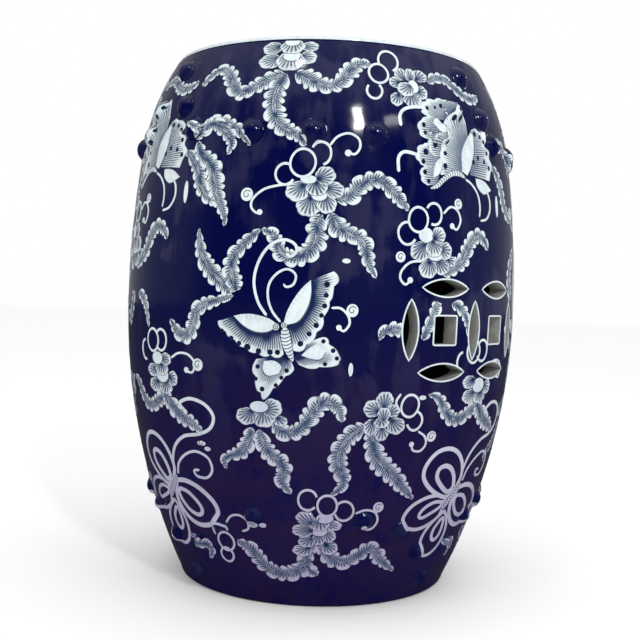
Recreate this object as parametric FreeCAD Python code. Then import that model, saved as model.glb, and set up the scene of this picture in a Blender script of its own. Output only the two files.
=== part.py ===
import FreeCAD, Part
import math
import os

V = FreeCAD.Vector

# Overall sizes, in millimetres
HEIGHT = 457.0
BELLY_RADIUS = 175.0
WALL_THICKNESS = 14.0

# Outer curve of the wall: a lower arc and an upper arc that meet at the belly, then a shoulder arc
BELLY_HEIGHT = 0.536 * HEIGHT
SHOULDER_HEIGHT = 0.821 * HEIGHT
LOWER_ARC = 3.20 * BELLY_RADIUS
UPPER_ARC = 5.14 * BELLY_RADIUS
SHOULDER_ARC = 1.19 * BELLY_RADIUS
FOOT_BEVEL = 4.0

# The curves are turned in straight bands: how many on the lower, the upper and the shoulder arc
OUTER_BANDS = (4, 2, 3)
INNER_BANDS = (3, 1, 2)

# Seat slab, which sits on the wall's top ledge with a spigot in the mouth
SLAB_EDGE_THICKNESS = 5.0
SLAB_SETBACK = 2.0
SLAB_EDGE_BEVEL = 1.5
SPIGOT_DEPTH = 9.0
SPIGOT_CLEARANCE = 0.5
WALL_TOP = HEIGHT - SLAB_EDGE_THICKNESS

# Double coin pierced through the wall on both sides, centred on the X axis
COIN_HEIGHT = 0.501 * HEIGHT
COIN_PITCH = 66.0
COIN_SQUARE = 22.0
PETAL_LENGTH = 46.0
PETAL_WIDTH = 13.0
PITCH_ANGLE = math.degrees(COIN_PITCH / BELLY_RADIUS)
SEAM_ANGLE = 90.0

# Single coin pierced through the middle of the seat slab
SEAT_COIN_PITCH = 68.0
SEAT_SQUARE = 26.0
SEAT_PETAL_LENGTH = 50.0
SEAT_PETAL_WIDTH = 15.0

# Domed studs, pressed on the wall in hanging garlands
UPPER_STUD_DIAMETER = 19.0
UPPER_STUD_RISE = 6.0
LOWER_STUD_DIAMETER = 15.0
LOWER_STUD_RISE = 4.5
STUD_SIDES = 8
PEAK_ANGLE = 1.5
UPPER_SPAN_ANGLE = 100.0
LOWER_SPAN_ANGLE = 96.0

# Dome of a stud as rings: radius as a share of its own, height as a share of the rise
DOME_RINGS = ((1.0, 0.0), (0.84, 0.52), (0.45, 1.0))

# Height of each stud as a share of the height, with its place between the garland's middle and its peak
UPPER_STEPS = ((0.825, 0.0), (0.825, 0.338), (0.836, 0.730), (0.879, 0.850))
UPPER_PEAK = 0.951
LOWER_STEPS = ((0.171, 0.0), (0.169, 0.354), (0.149, 0.625), (0.101, 0.833))
LOWER_PEAK = 0.038


def arc_centres():
    lower = V(BELLY_RADIUS - LOWER_ARC, 0, BELLY_HEIGHT)
    upper = V(BELLY_RADIUS - UPPER_ARC, 0, BELLY_HEIGHT)
    turn = math.asin((SHOULDER_HEIGHT - BELLY_HEIGHT) / UPPER_ARC)
    outward = V(math.cos(turn), 0, math.sin(turn))
    shoulder = upper + outward * (UPPER_ARC - SHOULDER_ARC)
    return lower, upper, shoulder, outward


def arc_point(centre, radius, z):
    rise = z - centre.z
    return V(centre.x + math.sqrt(radius ** 2 - rise ** 2), 0, z)


def wall_point(z, inset):
    lower, upper, shoulder, outward = arc_centres()
    joint = upper + outward * (UPPER_ARC - inset)
    if z < BELLY_HEIGHT:
        return arc_point(lower, LOWER_ARC - inset, z)
    if z < joint.z:
        return arc_point(upper, UPPER_ARC - inset, z)
    return arc_point(shoulder, SHOULDER_ARC - inset, z)


def wall_points(bottom, inset, bands):
    lower, upper, shoulder, outward = arc_centres()
    joint = (upper + outward * (UPPER_ARC - inset)).z
    points = [wall_point(bottom, inset)]
    for low, high, count in zip(
        (bottom, BELLY_HEIGHT, joint), (BELLY_HEIGHT, joint, WALL_TOP), bands
    ):
        for step in range(1, count + 1):
            points.append(wall_point(low + (high - low) * step / count, inset))
    return points


def outer_points():
    side = wall_point(FOOT_BEVEL, 0)
    return [V(side.x - FOOT_BEVEL, 0, 0)] + wall_points(FOOT_BEVEL, 0, OUTER_BANDS)


def seat_on_wall(z):
    points = outer_points()
    for low, high in zip(points, points[1:]):
        if low.z <= z <= high.z:
            along = (high - low).normalize()
            return low + along * ((z - low.z) / along.z), V(along.z, 0, -along.x)
    raise ValueError("no wall at that height")


def revolved(points):
    face = Part.Face(Part.makePolygon(points + [points[0]]))
    face.rotate(V(0, 0, 0), V(0, 0, 1), SEAM_ANGLE)
    return face.revolve(V(0, 0, 0), V(0, 0, 1), 360)


def hollow_barrel():
    inner = wall_points(0, WALL_THICKNESS, INNER_BANDS)
    inner.reverse()
    return revolved(outer_points() + inner)


def petal_face(length, width):
    low = V(0, 0, -length / 2)
    high = V(0, 0, length / 2)
    right = Part.Arc(low, V(0, width / 2, 0), high).toShape()
    left = Part.Arc(high, V(0, -width / 2, 0), low).toShape()
    return Part.Face(Part.Wire([right, left]))


def petal_tool(length, width, start, end, lying):
    face = petal_face(length, width)
    face.translate(V(start, 0, 0))
    tool = face.extrude(V(end - start, 0, 0))
    if lying:
        tool.rotate(V(0, 0, 0), V(1, 0, 0), 90)
    return tool


def square_tool(side, start, end):
    return Part.makeBox(end - start, side, side, V(start, -side / 2, -side / 2))


def double_coin_tools():
    start = BELLY_RADIUS - 3 * WALL_THICKNESS
    end = BELLY_RADIUS + WALL_THICKNESS
    half = COIN_PITCH / 2
    tools = []
    for turn in (-PITCH_ANGLE, 0.0, PITCH_ANGLE):
        tools.append((petal_tool(PETAL_LENGTH, PETAL_WIDTH, start, end, False), turn, 0.0))
    for turn in (-PITCH_ANGLE / 2, PITCH_ANGLE / 2):
        tools.append((square_tool(COIN_SQUARE, start, end), turn, 0.0))
        for lift in (-half, half):
            tools.append((petal_tool(PETAL_LENGTH, PETAL_WIDTH, start, end, True), turn, lift))
    placed = []
    for tool, turn, lift in tools:
        for half_turn in (0, 180):
            cutter = tool.copy()
            cutter.rotate(V(0, 0, 0), V(0, 0, 1), turn + half_turn)
            cutter.translate(V(0, 0, COIN_HEIGHT + lift))
            placed.append(cutter)
    return placed


def barrel_wall():
    return hollow_barrel().cut(double_coin_tools())


def seat_coin_tools():
    reach = 2 * (SLAB_EDGE_THICKNESS + SPIGOT_DEPTH)
    half = SEAT_COIN_PITCH / 2
    square = square_tool(SEAT_SQUARE, -reach, reach)
    square.rotate(V(0, 0, 0), V(0, 1, 0), 90)
    tools = [square]
    for quarter in range(4):
        petal = petal_tool(SEAT_PETAL_LENGTH, SEAT_PETAL_WIDTH, -reach, reach, True)
        petal.rotate(V(0, 0, 0), V(0, 1, 0), 90)
        petal.translate(V(half, 0, 0))
        petal.rotate(V(0, 0, 0), V(0, 0, 1), 90 * quarter)
        tools.append(petal)
    for tool in tools:
        tool.translate(V(0, 0, WALL_TOP))
    return tools


def seat_slab():
    slab_radius = wall_point(WALL_TOP, 0).x - SLAB_SETBACK
    spigot_radius = wall_point(WALL_TOP, WALL_THICKNESS).x - SPIGOT_CLEARANCE
    slab = revolved([
        V(0, 0, HEIGHT),
        V(slab_radius - SLAB_EDGE_BEVEL, 0, HEIGHT),
        V(slab_radius, 0, HEIGHT - SLAB_EDGE_BEVEL),
        V(slab_radius, 0, WALL_TOP),
        V(spigot_radius, 0, WALL_TOP),
        V(spigot_radius, 0, WALL_TOP - SPIGOT_DEPTH),
        V(0, 0, WALL_TOP - SPIGOT_DEPTH),
    ])
    return slab.cut(seat_coin_tools())


def dome(diameter, rise):
    rings = []
    for reach, lift in DOME_RINGS:
        ring = []
        for corner in range(STUD_SIDES):
            turn = 2 * math.pi * (corner + 0.5) / STUD_SIDES
            radius = reach * diameter / 2
            ring.append(V(radius * math.cos(turn), radius * math.sin(turn), lift * rise))
        rings.append(ring)
    outlines = [list(rings[0]), list(rings[-1])]
    for low, high in zip(rings, rings[1:]):
        for corner in range(STUD_SIDES):
            after = (corner + 1) % STUD_SIDES
            outlines.append([low[corner], low[after], high[after], high[corner]])
    faces = [Part.Face(Part.makePolygon(outline + [outline[0]])) for outline in outlines]
    return Part.Solid(Part.makeShell(faces))


def stud(z, diameter, rise):
    seat, normal = seat_on_wall(z)
    piece = dome(diameter, rise)
    piece.rotate(V(0, 0, 0), V(0, 1, 0), 90 - math.degrees(math.asin(normal.z)))
    piece.translate(seat)
    return piece


def garland_places(steps, peak, front_span):
    places = []
    for start, span in ((PEAK_ANGLE, 180 - front_span), (PEAK_ANGLE - front_span, front_span)):
        middle = start + span / 2
        places.append((peak, start))
        places.append((steps[0][0], middle))
        for share, place in steps[1:]:
            places.append((share, middle - place * span / 2))
            places.append((share, middle + place * span / 2))
    return places


def stud_group(diameter, rise, places):
    made = {}
    studs = []
    for share, turn in places:
        if share not in made:
            made[share] = stud(share * HEIGHT, diameter, rise)
        for half_turn in (0, 180):
            piece = made[share].copy()
            piece.rotate(V(0, 0, 0), V(0, 0, 1), turn + half_turn)
            studs.append(piece)
    return Part.makeCompound(studs)


def main():
    os.makedirs("parts", exist_ok=True)
    upper_places = garland_places(UPPER_STEPS, UPPER_PEAK, UPPER_SPAN_ANGLE)
    lower_places = garland_places(LOWER_STEPS, LOWER_PEAK, LOWER_SPAN_ANGLE)
    shapes = {
        "barrel_wall": barrel_wall(),
        "seat_slab": seat_slab(),
        "upper_studs": stud_group(UPPER_STUD_DIAMETER, UPPER_STUD_RISE, upper_places),
        "lower_studs": stud_group(LOWER_STUD_DIAMETER, LOWER_STUD_RISE, lower_places),
    }
    for name, shape in shapes.items():
        shape.exportStep("parts/" + name + ".step")
        print(name, len(shape.Solids), "solids", round(shape.Volume / 1000, 1), "cm3", shape.isValid())


main()
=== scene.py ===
import math
import bpy
import numpy as np
from mathutils import Matrix, Vector
from bpy.props import FloatProperty, FloatVectorProperty, IntProperty, PointerProperty


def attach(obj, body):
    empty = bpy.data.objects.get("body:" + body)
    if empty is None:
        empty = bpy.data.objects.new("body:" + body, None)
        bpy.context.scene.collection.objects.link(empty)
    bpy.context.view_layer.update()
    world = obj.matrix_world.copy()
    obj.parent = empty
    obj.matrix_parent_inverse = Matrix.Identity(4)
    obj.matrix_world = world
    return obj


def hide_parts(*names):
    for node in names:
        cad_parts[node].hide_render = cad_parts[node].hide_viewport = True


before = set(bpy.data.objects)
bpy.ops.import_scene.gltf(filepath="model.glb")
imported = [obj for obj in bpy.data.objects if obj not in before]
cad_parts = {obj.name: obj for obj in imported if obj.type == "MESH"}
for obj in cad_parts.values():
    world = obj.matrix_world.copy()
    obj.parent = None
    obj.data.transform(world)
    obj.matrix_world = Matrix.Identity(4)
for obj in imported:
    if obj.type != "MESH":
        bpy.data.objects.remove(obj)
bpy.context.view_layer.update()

bl_info = {
    "name": "Ceramic garden stool",
    "version": (1, 0, 0),
    "blender": (4, 5, 0),
    "location": "3D View > Sidebar > Garden stool",
    "description": "Builds a pierced blue-and-white ceramic garden stool and its studio",
    "category": "Add Mesh",
}

# A millimetre, and the distance within which points are merged, in metres
MM = 0.001
MERGE_DISTANCE = 1e-6

# Motifs are placed by the angle round the wall, in degrees from the middle of the front, and the
# height in mm
FRONT_TO_X_AXIS = -45.0
COIN_PLACE = 45.0
HALF_TURN = 180.0
SIDE_CLUSTER_STEP = 83.0

# Outer curve of the wall, in mm. It is drawn a little smaller than the frame's, so that the paint on it
# stays within the frame's box
HEIGHT = 457.0
BELLY_RADIUS = 175.0
BELLY_HEIGHT = 0.536 * HEIGHT
SHOULDER_HEIGHT = 0.821 * HEIGHT
LOWER_ARC = 3.20 * BELLY_RADIUS
UPPER_ARC = 5.14 * BELLY_RADIUS
SHOULDER_ARC = 1.19 * BELLY_RADIUS
SLAB_EDGE = 5.0
WALL_TOP = HEIGHT - SLAB_EDGE
SLAB_SETBACK = 2.0
SPIGOT_GAP = 1.2
PAINT_ALLOWANCE = 0.55

# Double coin in the wall and single coin in the seat, in mm
COIN_HEIGHT = 0.501 * HEIGHT
COIN_PITCH = 66.0
COIN_SQUARE = 22.0
PETAL_LENGTH = 46.0
PETAL_WIDTH = 13.0
SEAT_COIN_PITCH = 68.0
SEAT_SQUARE = 26.0
SEAT_PETAL_LENGTH = 50.0
SEAT_PETAL_WIDTH = 15.0
SQUARE_CORNER = 0.8
LENS_POINTS = 17
COIN_SIDE_ANGLE = 20.0

# Studs, set as the frame's: share of the height, and place between the garland's middle and its peak
UPPER_STEPS = ((0.825, 0.0), (0.825, 0.338), (0.836, 0.730), (0.879, 0.850))
UPPER_PEAK = 0.951
LOWER_STEPS = ((0.171, 0.0), (0.169, 0.354), (0.149, 0.625), (0.101, 0.833))
LOWER_PEAK = 0.038
PEAK_ANGLE = 1.5
UPPER_SPAN_ANGLE = 100.0
LOWER_SPAN_ANGLE = 96.0
STUD_SOFT_EDGE = 0.9

# Leaf scrolls: place round the wall, height and half width of each point along the midrib
PANEL_LEAVES = (
    ((-13, 423, 6), (-17.5, 418, 7), (-22, 411.5, 6), (-25.5, 408.5, 6.5), (-28.3, 414, 7),
     (-30.6, 423.5, 6.5), (-33.3, 429, 5), (-36, 429, 4.5), (-38.8, 423.5, 3.8), (-40.8, 417.5, 2.4)),
    ((-9.5, 424, 7), (-6.5, 420, 8.5), (-3.4, 415.5, 7.5), (0, 413.2, 6), (3, 416, 7), (5.8, 424.5, 7.5),
     (8, 431.3, 6), (10.5, 433.6, 4), (13.3, 431, 2)),
    ((-12.3, 423, 6), (-14, 413, 8), (-14.9, 403, 8.5), (-14.4, 392, 8.5), (-13, 383.5, 7.5),
     (-10.4, 377.8, 6), (-7.6, 373.5, 4.5), (-5.3, 365.5, 1.6)),
    ((-38.6, 373.5, 4), (-36, 379, 6), (-33.2, 384, 6.5), (-30, 385, 6.5), (-27, 381.5, 6),
     (-24.3, 378, 4.8), (-22.6, 373.3, 3), (-20.3, 366, 1.4)),
    ((-37.6, 371, 4.5), (-35.8, 361, 6.5), (-32.8, 354.5, 7.5), (-30.7, 346.5, 8.5), (-30, 337, 8),
     (-29.1, 328, 6.5), (-27.6, 319.5, 5), (-26.3, 311.5, 3), (-26.1, 303.5, 1)),
    ((3.2, 325, 6), (6.8, 329, 7), (9, 336.5, 7), (11.8, 341, 6.5), (15, 341, 6.5), (17.9, 334, 6.5),
     (20, 327, 4.5), (22.2, 320, 1.4)),
    ((1.5, 315, 7), (3.5, 305.5, 8), (6, 300.4, 6.5), (8.7, 298, 6.5), (10.5, 292.5, 6.5),
     (11.2, 285, 5.5), (11.9, 277, 3.8), (13.7, 267.5, 1.2)),
    ((-0.6, 314, 6), (-1.6, 304, 8), (-1.6, 294, 8), (-3.6, 285, 7.5), (-7, 280.6, 6.5), (-10, 283.5, 6.5),
     (-11.6, 291, 6), (-12.8, 298.3, 4.5), (-15.6, 301.6, 1.4)),
    ((-16, 301.5, 2.5), (-18.2, 295.5, 5), (-20.7, 288.5, 5.5), (-22.6, 282, 6.5), (-23.5, 273.5, 7.5),
     (-23, 265, 7.5), (-21.6, 254.5, 4.5)),
    ((-33.9, 302, 1.2), (-33.6, 293, 4.5), (-32.7, 283, 6.5), (-31, 274.5, 7.5), (-28.6, 267, 7.5),
     (-26, 260.5, 7), (-22.8, 253, 4.5)),
    ((-22.5, 250.5, 2), (-26.5, 247, 4), (-30.4, 243.6, 5.8), (-33.4, 238.5, 6.2), (-34.4, 230, 6.5),
     (-35.6, 221.5, 7), (-38, 217.6, 6.5), (-40.5, 221, 4.8), (-43.2, 230, 1.5)),
    ((-11.3, 155, 6), (-9, 148.7, 6.8), (-6.2, 148, 6.2), (-3.7, 152.5, 6.5), (-1.5, 162, 7.5),
     (0.5, 170.3, 7.5), (3.2, 172.3, 6.8), (5.6, 168, 5), (6.7, 157.5, 2)),
    ((-17.3, 150, 5), (-18.4, 139.5, 6.5), (-20.2, 131.3, 6), (-22.7, 127.3, 4.6), (-25, 125, 4),
     (-26.4, 121, 3), (-25.7, 115, 1.4)),
    ((-15.3, 149, 5), (-14.2, 138.5, 7), (-12.3, 130, 7), (-9.8, 125.4, 6.5), (-8.5, 117.5, 6.5),
     (-9.2, 108.5, 5), (-6.6, 99, 1.5)),
    ((13.2, 154, 7), (10.2, 149.5, 7.2), (7.6, 141.5, 7.2), (6.2, 131.5, 7.5), (6.6, 121, 7),
     (8.1, 112, 5), (7.4, 104.8, 3.6), (4.8, 99.5, 1.5)),
    ((14.8, 152, 6), (15.4, 140.5, 7.5), (17, 129.5, 8.5), (20.1, 120, 8), (23.3, 112.8, 7),
     (25.7, 105.8, 5.5), (28.2, 99.8, 3.5), (30.7, 93.5, 1.2)),
    ((-1.2, 47, 7), (-3, 37, 8), (-7, 31, 7.5), (-12, 30.6, 7), (-16, 35.6, 7), (-18.6, 43, 7),
     (-21, 50, 6), (-25.3, 54.2, 2)),
    ((2.6, 57, 6), (5, 48.5, 7.2), (8.1, 43, 7), (11.5, 42.2, 6.5), (15, 47.5, 6.5), (18.4, 53, 6.5),
     (21.4, 49, 6.5), (23.4, 42.8, 5.2), (26.6, 36.8, 3.4), (30.2, 31, 1.5)),
    ((0.6, 61, 4), (-0.8, 52, 6), (-2.2, 42.5, 6), (-0.2, 34, 5), (2.4, 30, 1.5)),
    ((15, 220.5, 1.3), (16.1, 227, 4.6), (18.6, 229, 6), (21, 228.5, 4)),
)
CLUSTER_LEAVES = (
    ((32.6, 272.5, 5), (36, 277.8, 6.4), (39.5, 284, 7), (41.5, 293, 7), (43.6, 301, 6.5),
     (46.2, 304.6, 6), (49.1, 301.5, 4.6), (50.8, 294, 1.6)),
    ((27, 221.5, 4), (28.5, 229.5, 5.2), (30.2, 240, 5.6), (31.4, 251, 4)),
    ((36, 250, 4), (39.2, 246.5, 5.5), (41.6, 238.5, 4), (43.4, 222, 1.5)),
    ((30.4, 179, 1.5), (34, 175.4, 4.8), (36.6, 166.2, 6.2), (39.6, 158.7, 6), (43.2, 158, 6),
     (47, 163, 6.4), (50.5, 168, 5)),
    ((49.4, 172, 5), (52.6, 162, 8), (56.6, 153.4, 7.2), (60.4, 148.6, 5.5), (64, 143, 2)),
    ((31, 424, 4), (34.5, 428.6, 5), (38.5, 428.6, 5), (42, 423.5, 5.5), (46, 418, 5.5),
     (50.5, 417.5, 4.5), (54, 422, 1.6)),
    ((55, 365, 3), (58.5, 357, 6), (61, 347, 7), (62.5, 335, 6.5), (65.5, 325.5, 5), (69.5, 321, 1.4)),
    ((56, 386, 2), (60, 381.5, 5), (64.5, 384, 6), (69, 377, 6), (71, 368, 4), (70, 359, 1.2)),
    ((50, 52, 2.4), (54, 48, 4), (58, 46.8, 4.4), (60, 41, 3.4), (58, 33, 1.2)),
)

# Petals of each flower, the lowest first: place, height, half width, half height, root from the middle
# in two steps, and 1 for a white cup
PANEL_FLOWERS = (
    ((-18.2, 433.6, 7.6, 6.2, 6.5, 2.5, 0), (-6.2, 436.6, 5.3, 5.8, -4.8, 1, 0),
     (-11.7, 433.4, 9.2, 8.4, 0, 6.5, 0), (-11.5, 437.6, 5.6, 4.4, 0, 3, 1),
     (-18.3, 445, 6.4, 5.8, 5.5, 1.5, 0), (-6, 446, 5.4, 4.6, -4.8, 0.5, 0), (-11.7, 446, 8, 6.6, 0, 5, 0),
     (-12, 450, 5, 3.6, 0, 1, 1)),
    ((-3.9, 319.6, 7.6, 7.2, 1.5, 6.5, 0), (0.7, 321.4, 6, 6.4, -1.5, 5.8, 0),
     (-1.3, 328.6, 5, 4.6, 0, 3, 1), (-7, 330.6, 7.2, 7, 5, 5, 0), (2.6, 332.4, 6, 5.8, -5.2, 1, 0),
     (-2, 333.6, 6.6, 5.6, -1, 5, 0), (-4.2, 339.8, 5, 3, 0, 2, 1), (0.2, 343.4, 6.2, 6.4, -5, -2.5, 0)),
    ((-9.4, 156.4, 4.4, 3.8, -3, 3, 0), (-14, 158.2, 7.6, 7, 0, 6.4, 0),
     (-18.8, 158.6, 6.9, 6.2, 5, 4.5, 0), (-11.6, 166.2, 6.3, 6.8, -5.2, -1, 0),
     (-15.2, 166.4, 6, 4, 0, 2.5, 1)),
    ((17.5, 148.2, 4.6, 5, 0, 4.4, 0), (14.2, 153.4, 4.4, 6, 2, 5, 0), (21.5, 154.4, 6.2, 6.2, -4, 4, 0),
     (17.2, 157, 5, 3.8, 0, 3, 0), (20.4, 166.6, 4.2, 4.8, -3.5, -2, 0),
     (14.2, 168.3, 5.3, 6.2, 4.5, -2, 0), (17.7, 164.2, 4.3, 5, 0, -4, 0),
     (17.6, 175.2, 5.8, 5.9, 0, -5.4, 0)),
    ((-3.2, 51.6, 6.4, 4.8, 5, 3, 0), (5.6, 54, 5.2, 5.6, -4, 4, 0), (1.8, 61.4, 4.6, 4.6, 0, 4, 0),
     (-2, 59.4, 5.2, 4.8, 4, 3, 0), (5.2, 64.4, 4.2, 5, -3, 3.5, 0), (2, 68.4, 5.2, 4, 0, 2, 1),
     (-3.2, 69.1, 6.8, 5.4, 6, 0, 0), (6.2, 73.6, 5.4, 4.2, -4.8, 1, 0), (2, 74.4, 6.2, 5.2, 0, 4.6, 0),
     (3.4, 79.4, 5.6, 4, 0, 2, 1), (-2.4, 80, 6.2, 5, 5, -2, 0)),
)
CLUSTER_FLOWERS = (
    ((35.6, 282.7, 3.6, 3.6, -3, 1, 0), (32.2, 278, 6.4, 5.6, -3, 5, 0), (28, 275.8, 6.8, 6.4, 1, 6, 0),
     (30.2, 287.8, 6.6, 5.2, 0, 3, 1), (33.6, 290.7, 5, 6.3, -4.4, 1, 0), (25.5, 289, 7, 6.9, 4, 5.5, 0),
     (29.8, 292, 6.2, 6.2, -1, 5.6, 0), (27.4, 301.8, 5.4, 5.4, -3, 2, 1),
     (31.3, 302.7, 5.3, 6, -4.4, -3, 0)),
    ((50.8, 174.2, 7.3, 5, 1, 4.4, 0), (45.8, 175.4, 7.4, 5.4, 5, 3.5, 0),
     (49.6, 183.8, 6.8, 5.6, 0, 3, 1), (54.4, 182.4, 4.4, 5.6, -3.8, 1, 0), (45, 187.2, 6.8, 5, 6, 2, 0),
     (49.5, 189.2, 7.2, 5.2, 0, 4.6, 0), (51.6, 197.4, 5.7, 4.8, -4.8, 0, 0),
     (47.5, 197.4, 6, 4.8, 4, 3, 1)),
    ((19.6, 406, 4.2, 5.2, 2, 4, 0), (24.6, 406.6, 6.6, 5.2, -1, 4.6, 0),
     (28.2, 414, 4.2, 5.4, -3.6, 1, 0), (19.6, 420, 4, 4.4, 3, 0, 0), (22, 427.4, 4.8, 5, 2, -4, 0),
     (28.4, 427.8, 5.8, 5, -4, -3, 0), (25, 427.4, 3.6, 5.8, 0, -5, 0), (25.6, 417.8, 3.8, 5.2, -2, 2, 1),
     (22.8, 415, 5.8, 5.6, 4, 3, 0)),
)

# Rings: place, height, radius, first and last angle of the stroke
PANEL_RINGS = (
    (-10.3, 343.8, 8.2, 62, 330),
    (-5.8, 352.6, 10.8, 0, 360),
    (-1.2, 360.2, 8.8, -76, 150),
    (-1.8, 94.5, 8.6, 20, 318),
    (9, 86, 8.4, -162, 136),
    (3.9, 90.3, 8.8, 0, 360),
    (-31.2, 62, 8, 2, 220),
    (-29.6, 52.4, 8.4, 0, 360),
    (-30.2, 40.6, 6.6, 0, 360),
    (25, 170.2, 8.8, 0, 360),
    (26.9, 158.2, 7.6, -160, 100),
)
CLUSTER_RINGS = (
    (18.4, 437.5, 9.4, -70, 200),
    (14.8, 426, 8.6, 0, 360),
    (13.2, 411.5, 6.8, 140, 410),
    (21.8, 302.6, 8.6, 60, 330),
    (29.8, 318.8, 8.4, -110, 150),
    (25, 313.6, 9.6, 0, 360),
    (45.6, 212, 9.2, 0, 360),
    (49.6, 212.6, 8.6, -150, 145),
    (41.5, 203.5, 8.2, 100, 275),
)

# Curled hooks: place and height along the stroke
PANEL_HOOKS = (
    ((1, 366.5), (3, 373.5), (6, 376.3), (8.5, 372.6), (8.9, 366), (7.6, 360.6), (5.8, 361.6)),
    ((-8.6, 336.2), (-12, 335), (-15.6, 332), (-18.4, 325), (-18.8, 318.5), (-17.3, 314), (-16.2, 314.6)),
    ((2.6, 244), (4.9, 244), (6.8, 239), (7.3, 232.5), (6, 227), (4.8, 228.8)),
    ((12.4, 83.8), (15.5, 86.6), (18.6, 84.4), (19.8, 77.4), (18.6, 71.2), (16.6, 70), (15.4, 72.6)),
    ((-28.3, 69), (-26.2, 75.4), (-23.2, 77), (-20.7, 73), (-20.6, 66.5), (-22.9, 63.4)),
    ((28.4, 149.8), (30.8, 145.4), (31.6, 139.2), (30.1, 133.8), (27.7, 134.4), (26.9, 138.8)),
    ((22, 180), (20.8, 173), (22.2, 166)),
)
CLUSTER_HOOKS = (
    ((32.8, 319.6), (35.3, 325.4), (37.8, 323.2), (38.9, 315.6), (37.5, 308.2), (35.9, 310.2)),
    ((26.2, 282), (22.8, 280.6), (20.5, 274.6), (20, 268.4), (21.4, 263.6), (22.8, 266.4)),
    ((54, 199), (57, 203.4), (60.5, 203), (62.7, 197), (62, 189.4), (59.6, 189.8)),
    ((49.6, 345), (52.2, 338), (52.6, 328), (50.6, 319.6), (47.4, 317)),
)

# Small painted balls and dashes: place, height, half width, half height
PANEL_BALLS = (
    (-20.2, 328, 5.0, 5.2), (7.9, 242.6, 4.6, 5.0), (19.4, 88.6, 4.4, 4.6), (33.2, 145, 4.6, 4.4),
    (-18.8, 71.6, 4.6, 3.8), (-15.6, 70.8, 3.0, 2.0), (8.1, 198, 1.8, 5.2), (6, 279.6, 3.2, 1.8),
    (5.8, 361.2, 2.6, 2.6), (-16.4, 314.6, 2.2, 2.2), (4.7, 229.4, 2.2, 2.2), (15.4, 73.2, 2.4, 2.4),
    (26.9, 139.4, 2.2, 2.2), (28.6, 176.4, 3.2, 1.8), (-33.6, 133, 4.2, 2.0), (-31.6, 129, 3.0, 1.8),
)
CLUSTER_BALLS = (
    (38.2, 328.4, 4.0, 4.2), (20, 284.4, 4.0, 4.2), (35.8, 310.6, 2.4, 2.4), (22.8, 267, 2.4, 2.4),
    (63.8, 195.6, 5.0, 5.0), (59.8, 190.6, 2.4, 2.4), (57, 331, 2.2, 9.0),
)

# Front butterfly: the root, the rim and the number of lobes of each wing, dots with their radius, and eyes
# with their radius and layer
BUTTERFLY_WINGS = (
    (((-10.3, 229.4), (-13, 223.6), (-16.2, 223), (-19.4, 227.4), (-22, 235.4)),
     ((-8.6, 205), (-12.4, 204.6), (-16.4, 207), (-20, 211.6), (-23, 217.6), (-25.6, 224), (-27.4, 230)), 6),
    (((-8.2, 229.4), (-5.2, 232.6), (-3, 243), (-2.3, 254), (-2.7, 264)),
     ((-6.6, 209), (-3.6, 211.6), (-1.4, 219.4), (0.7, 229.4), (1.5, 239), (2.8, 248.6), (3.2, 257),
      (4.4, 264), (3.8, 272.6)), 6),
    (((-6.4, 205.6), (-5.6, 208), (-4.8, 210.4), (-4.2, 211.6)),
     ((-4.6, 199.6), (-1.8, 197.6), (2.4, 199), (6.4, 203), (5.2, 208.6), (3.9, 215.4), (1.6, 222),
      (-1.6, 219.6)), 4),
    (((-12.6, 205), (-11, 206.6), (-9.4, 206.4), (-8, 204.6)),
     ((-16.4, 203), (-17, 195), (-16.4, 185), (-14.5, 171.6), (-11.2, 179.6), (-9.2, 186.6), (-6.2, 195.6),
      (-6.6, 201.6)), 5),
)
BUTTERFLY_EYESPOTS = (
    (((-10.6, 230.2), (-13, 234.6), (-17, 237.2), (-20, 236.8), (-22.2, 235.2)),
     ((-10.6, 229), (-13, 223.8), (-16.2, 223.2), (-19.4, 227.6), (-22.2, 235.2))),
    (((-9, 231.4), (-8.2, 240.6), (-6.5, 250.6), (-4.6, 258.6), (-2.6, 264.4)),
     ((-8.6, 229.8), (-5.2, 232.8), (-3, 243), (-2.3, 254), (-2.6, 264.4))),
    (((-4.4, 207.6), (-2.4, 213.4), (-0.2, 216.2), (1.7, 212)),
     ((-4.4, 207.6), (-1.6, 204.4), (0.6, 204.8), (1.7, 212))),
    (((-13.8, 202), (-11.2, 202.6), (-9.4, 198.6), (-10, 193)),
     ((-13.8, 202), (-14.4, 195.4), (-13, 190.4), (-10, 193))),
)
BUTTERFLY_DOTS = (
    (-25.5, 223.4, 1.3), (-22.8, 218, 1.5), (-20.6, 214.6, 1.4), (-18.3, 212, 1.9), (-15.3, 209.4, 1.6),
    (-12.3, 209, 1.6), (-10.4, 209.2, 1.5), (1.4, 261.6, 1.6), (1.3, 253.4, 1.4), (1, 245.4, 1.4),
    (0.3, 238.2, 1.3), (-0.9, 230.6, 1.5), (-2.6, 224, 1.4), (-4.7, 216.4, 1.6), (1, 218.8, 1.2),
    (3.5, 212, 1.3), (4.5, 206.2, 1.2), (1.6, 201.6, 1.2), (-15.5, 197.6, 1.3), (-16, 188.2, 1.2),
    (-14.3, 180.6, 1.4), (-8, 195.6, 1.3), (-9.3, 190, 1.2), (-10.7, 184, 1.2),
)
BUTTERFLY_BODY = (
    (-8.7, 228.2, 2.6), (-8.5, 222.2, 4.0), (-8, 215.2, 4.0), (-7.2, 208.4, 2.8), (-6.4, 202.4, 1.0),
)
BUTTERFLY_EYES = ((-11, 228.4, 2.8, 5.8), (-8.9, 229.8, 2.4, 6.4))
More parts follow.
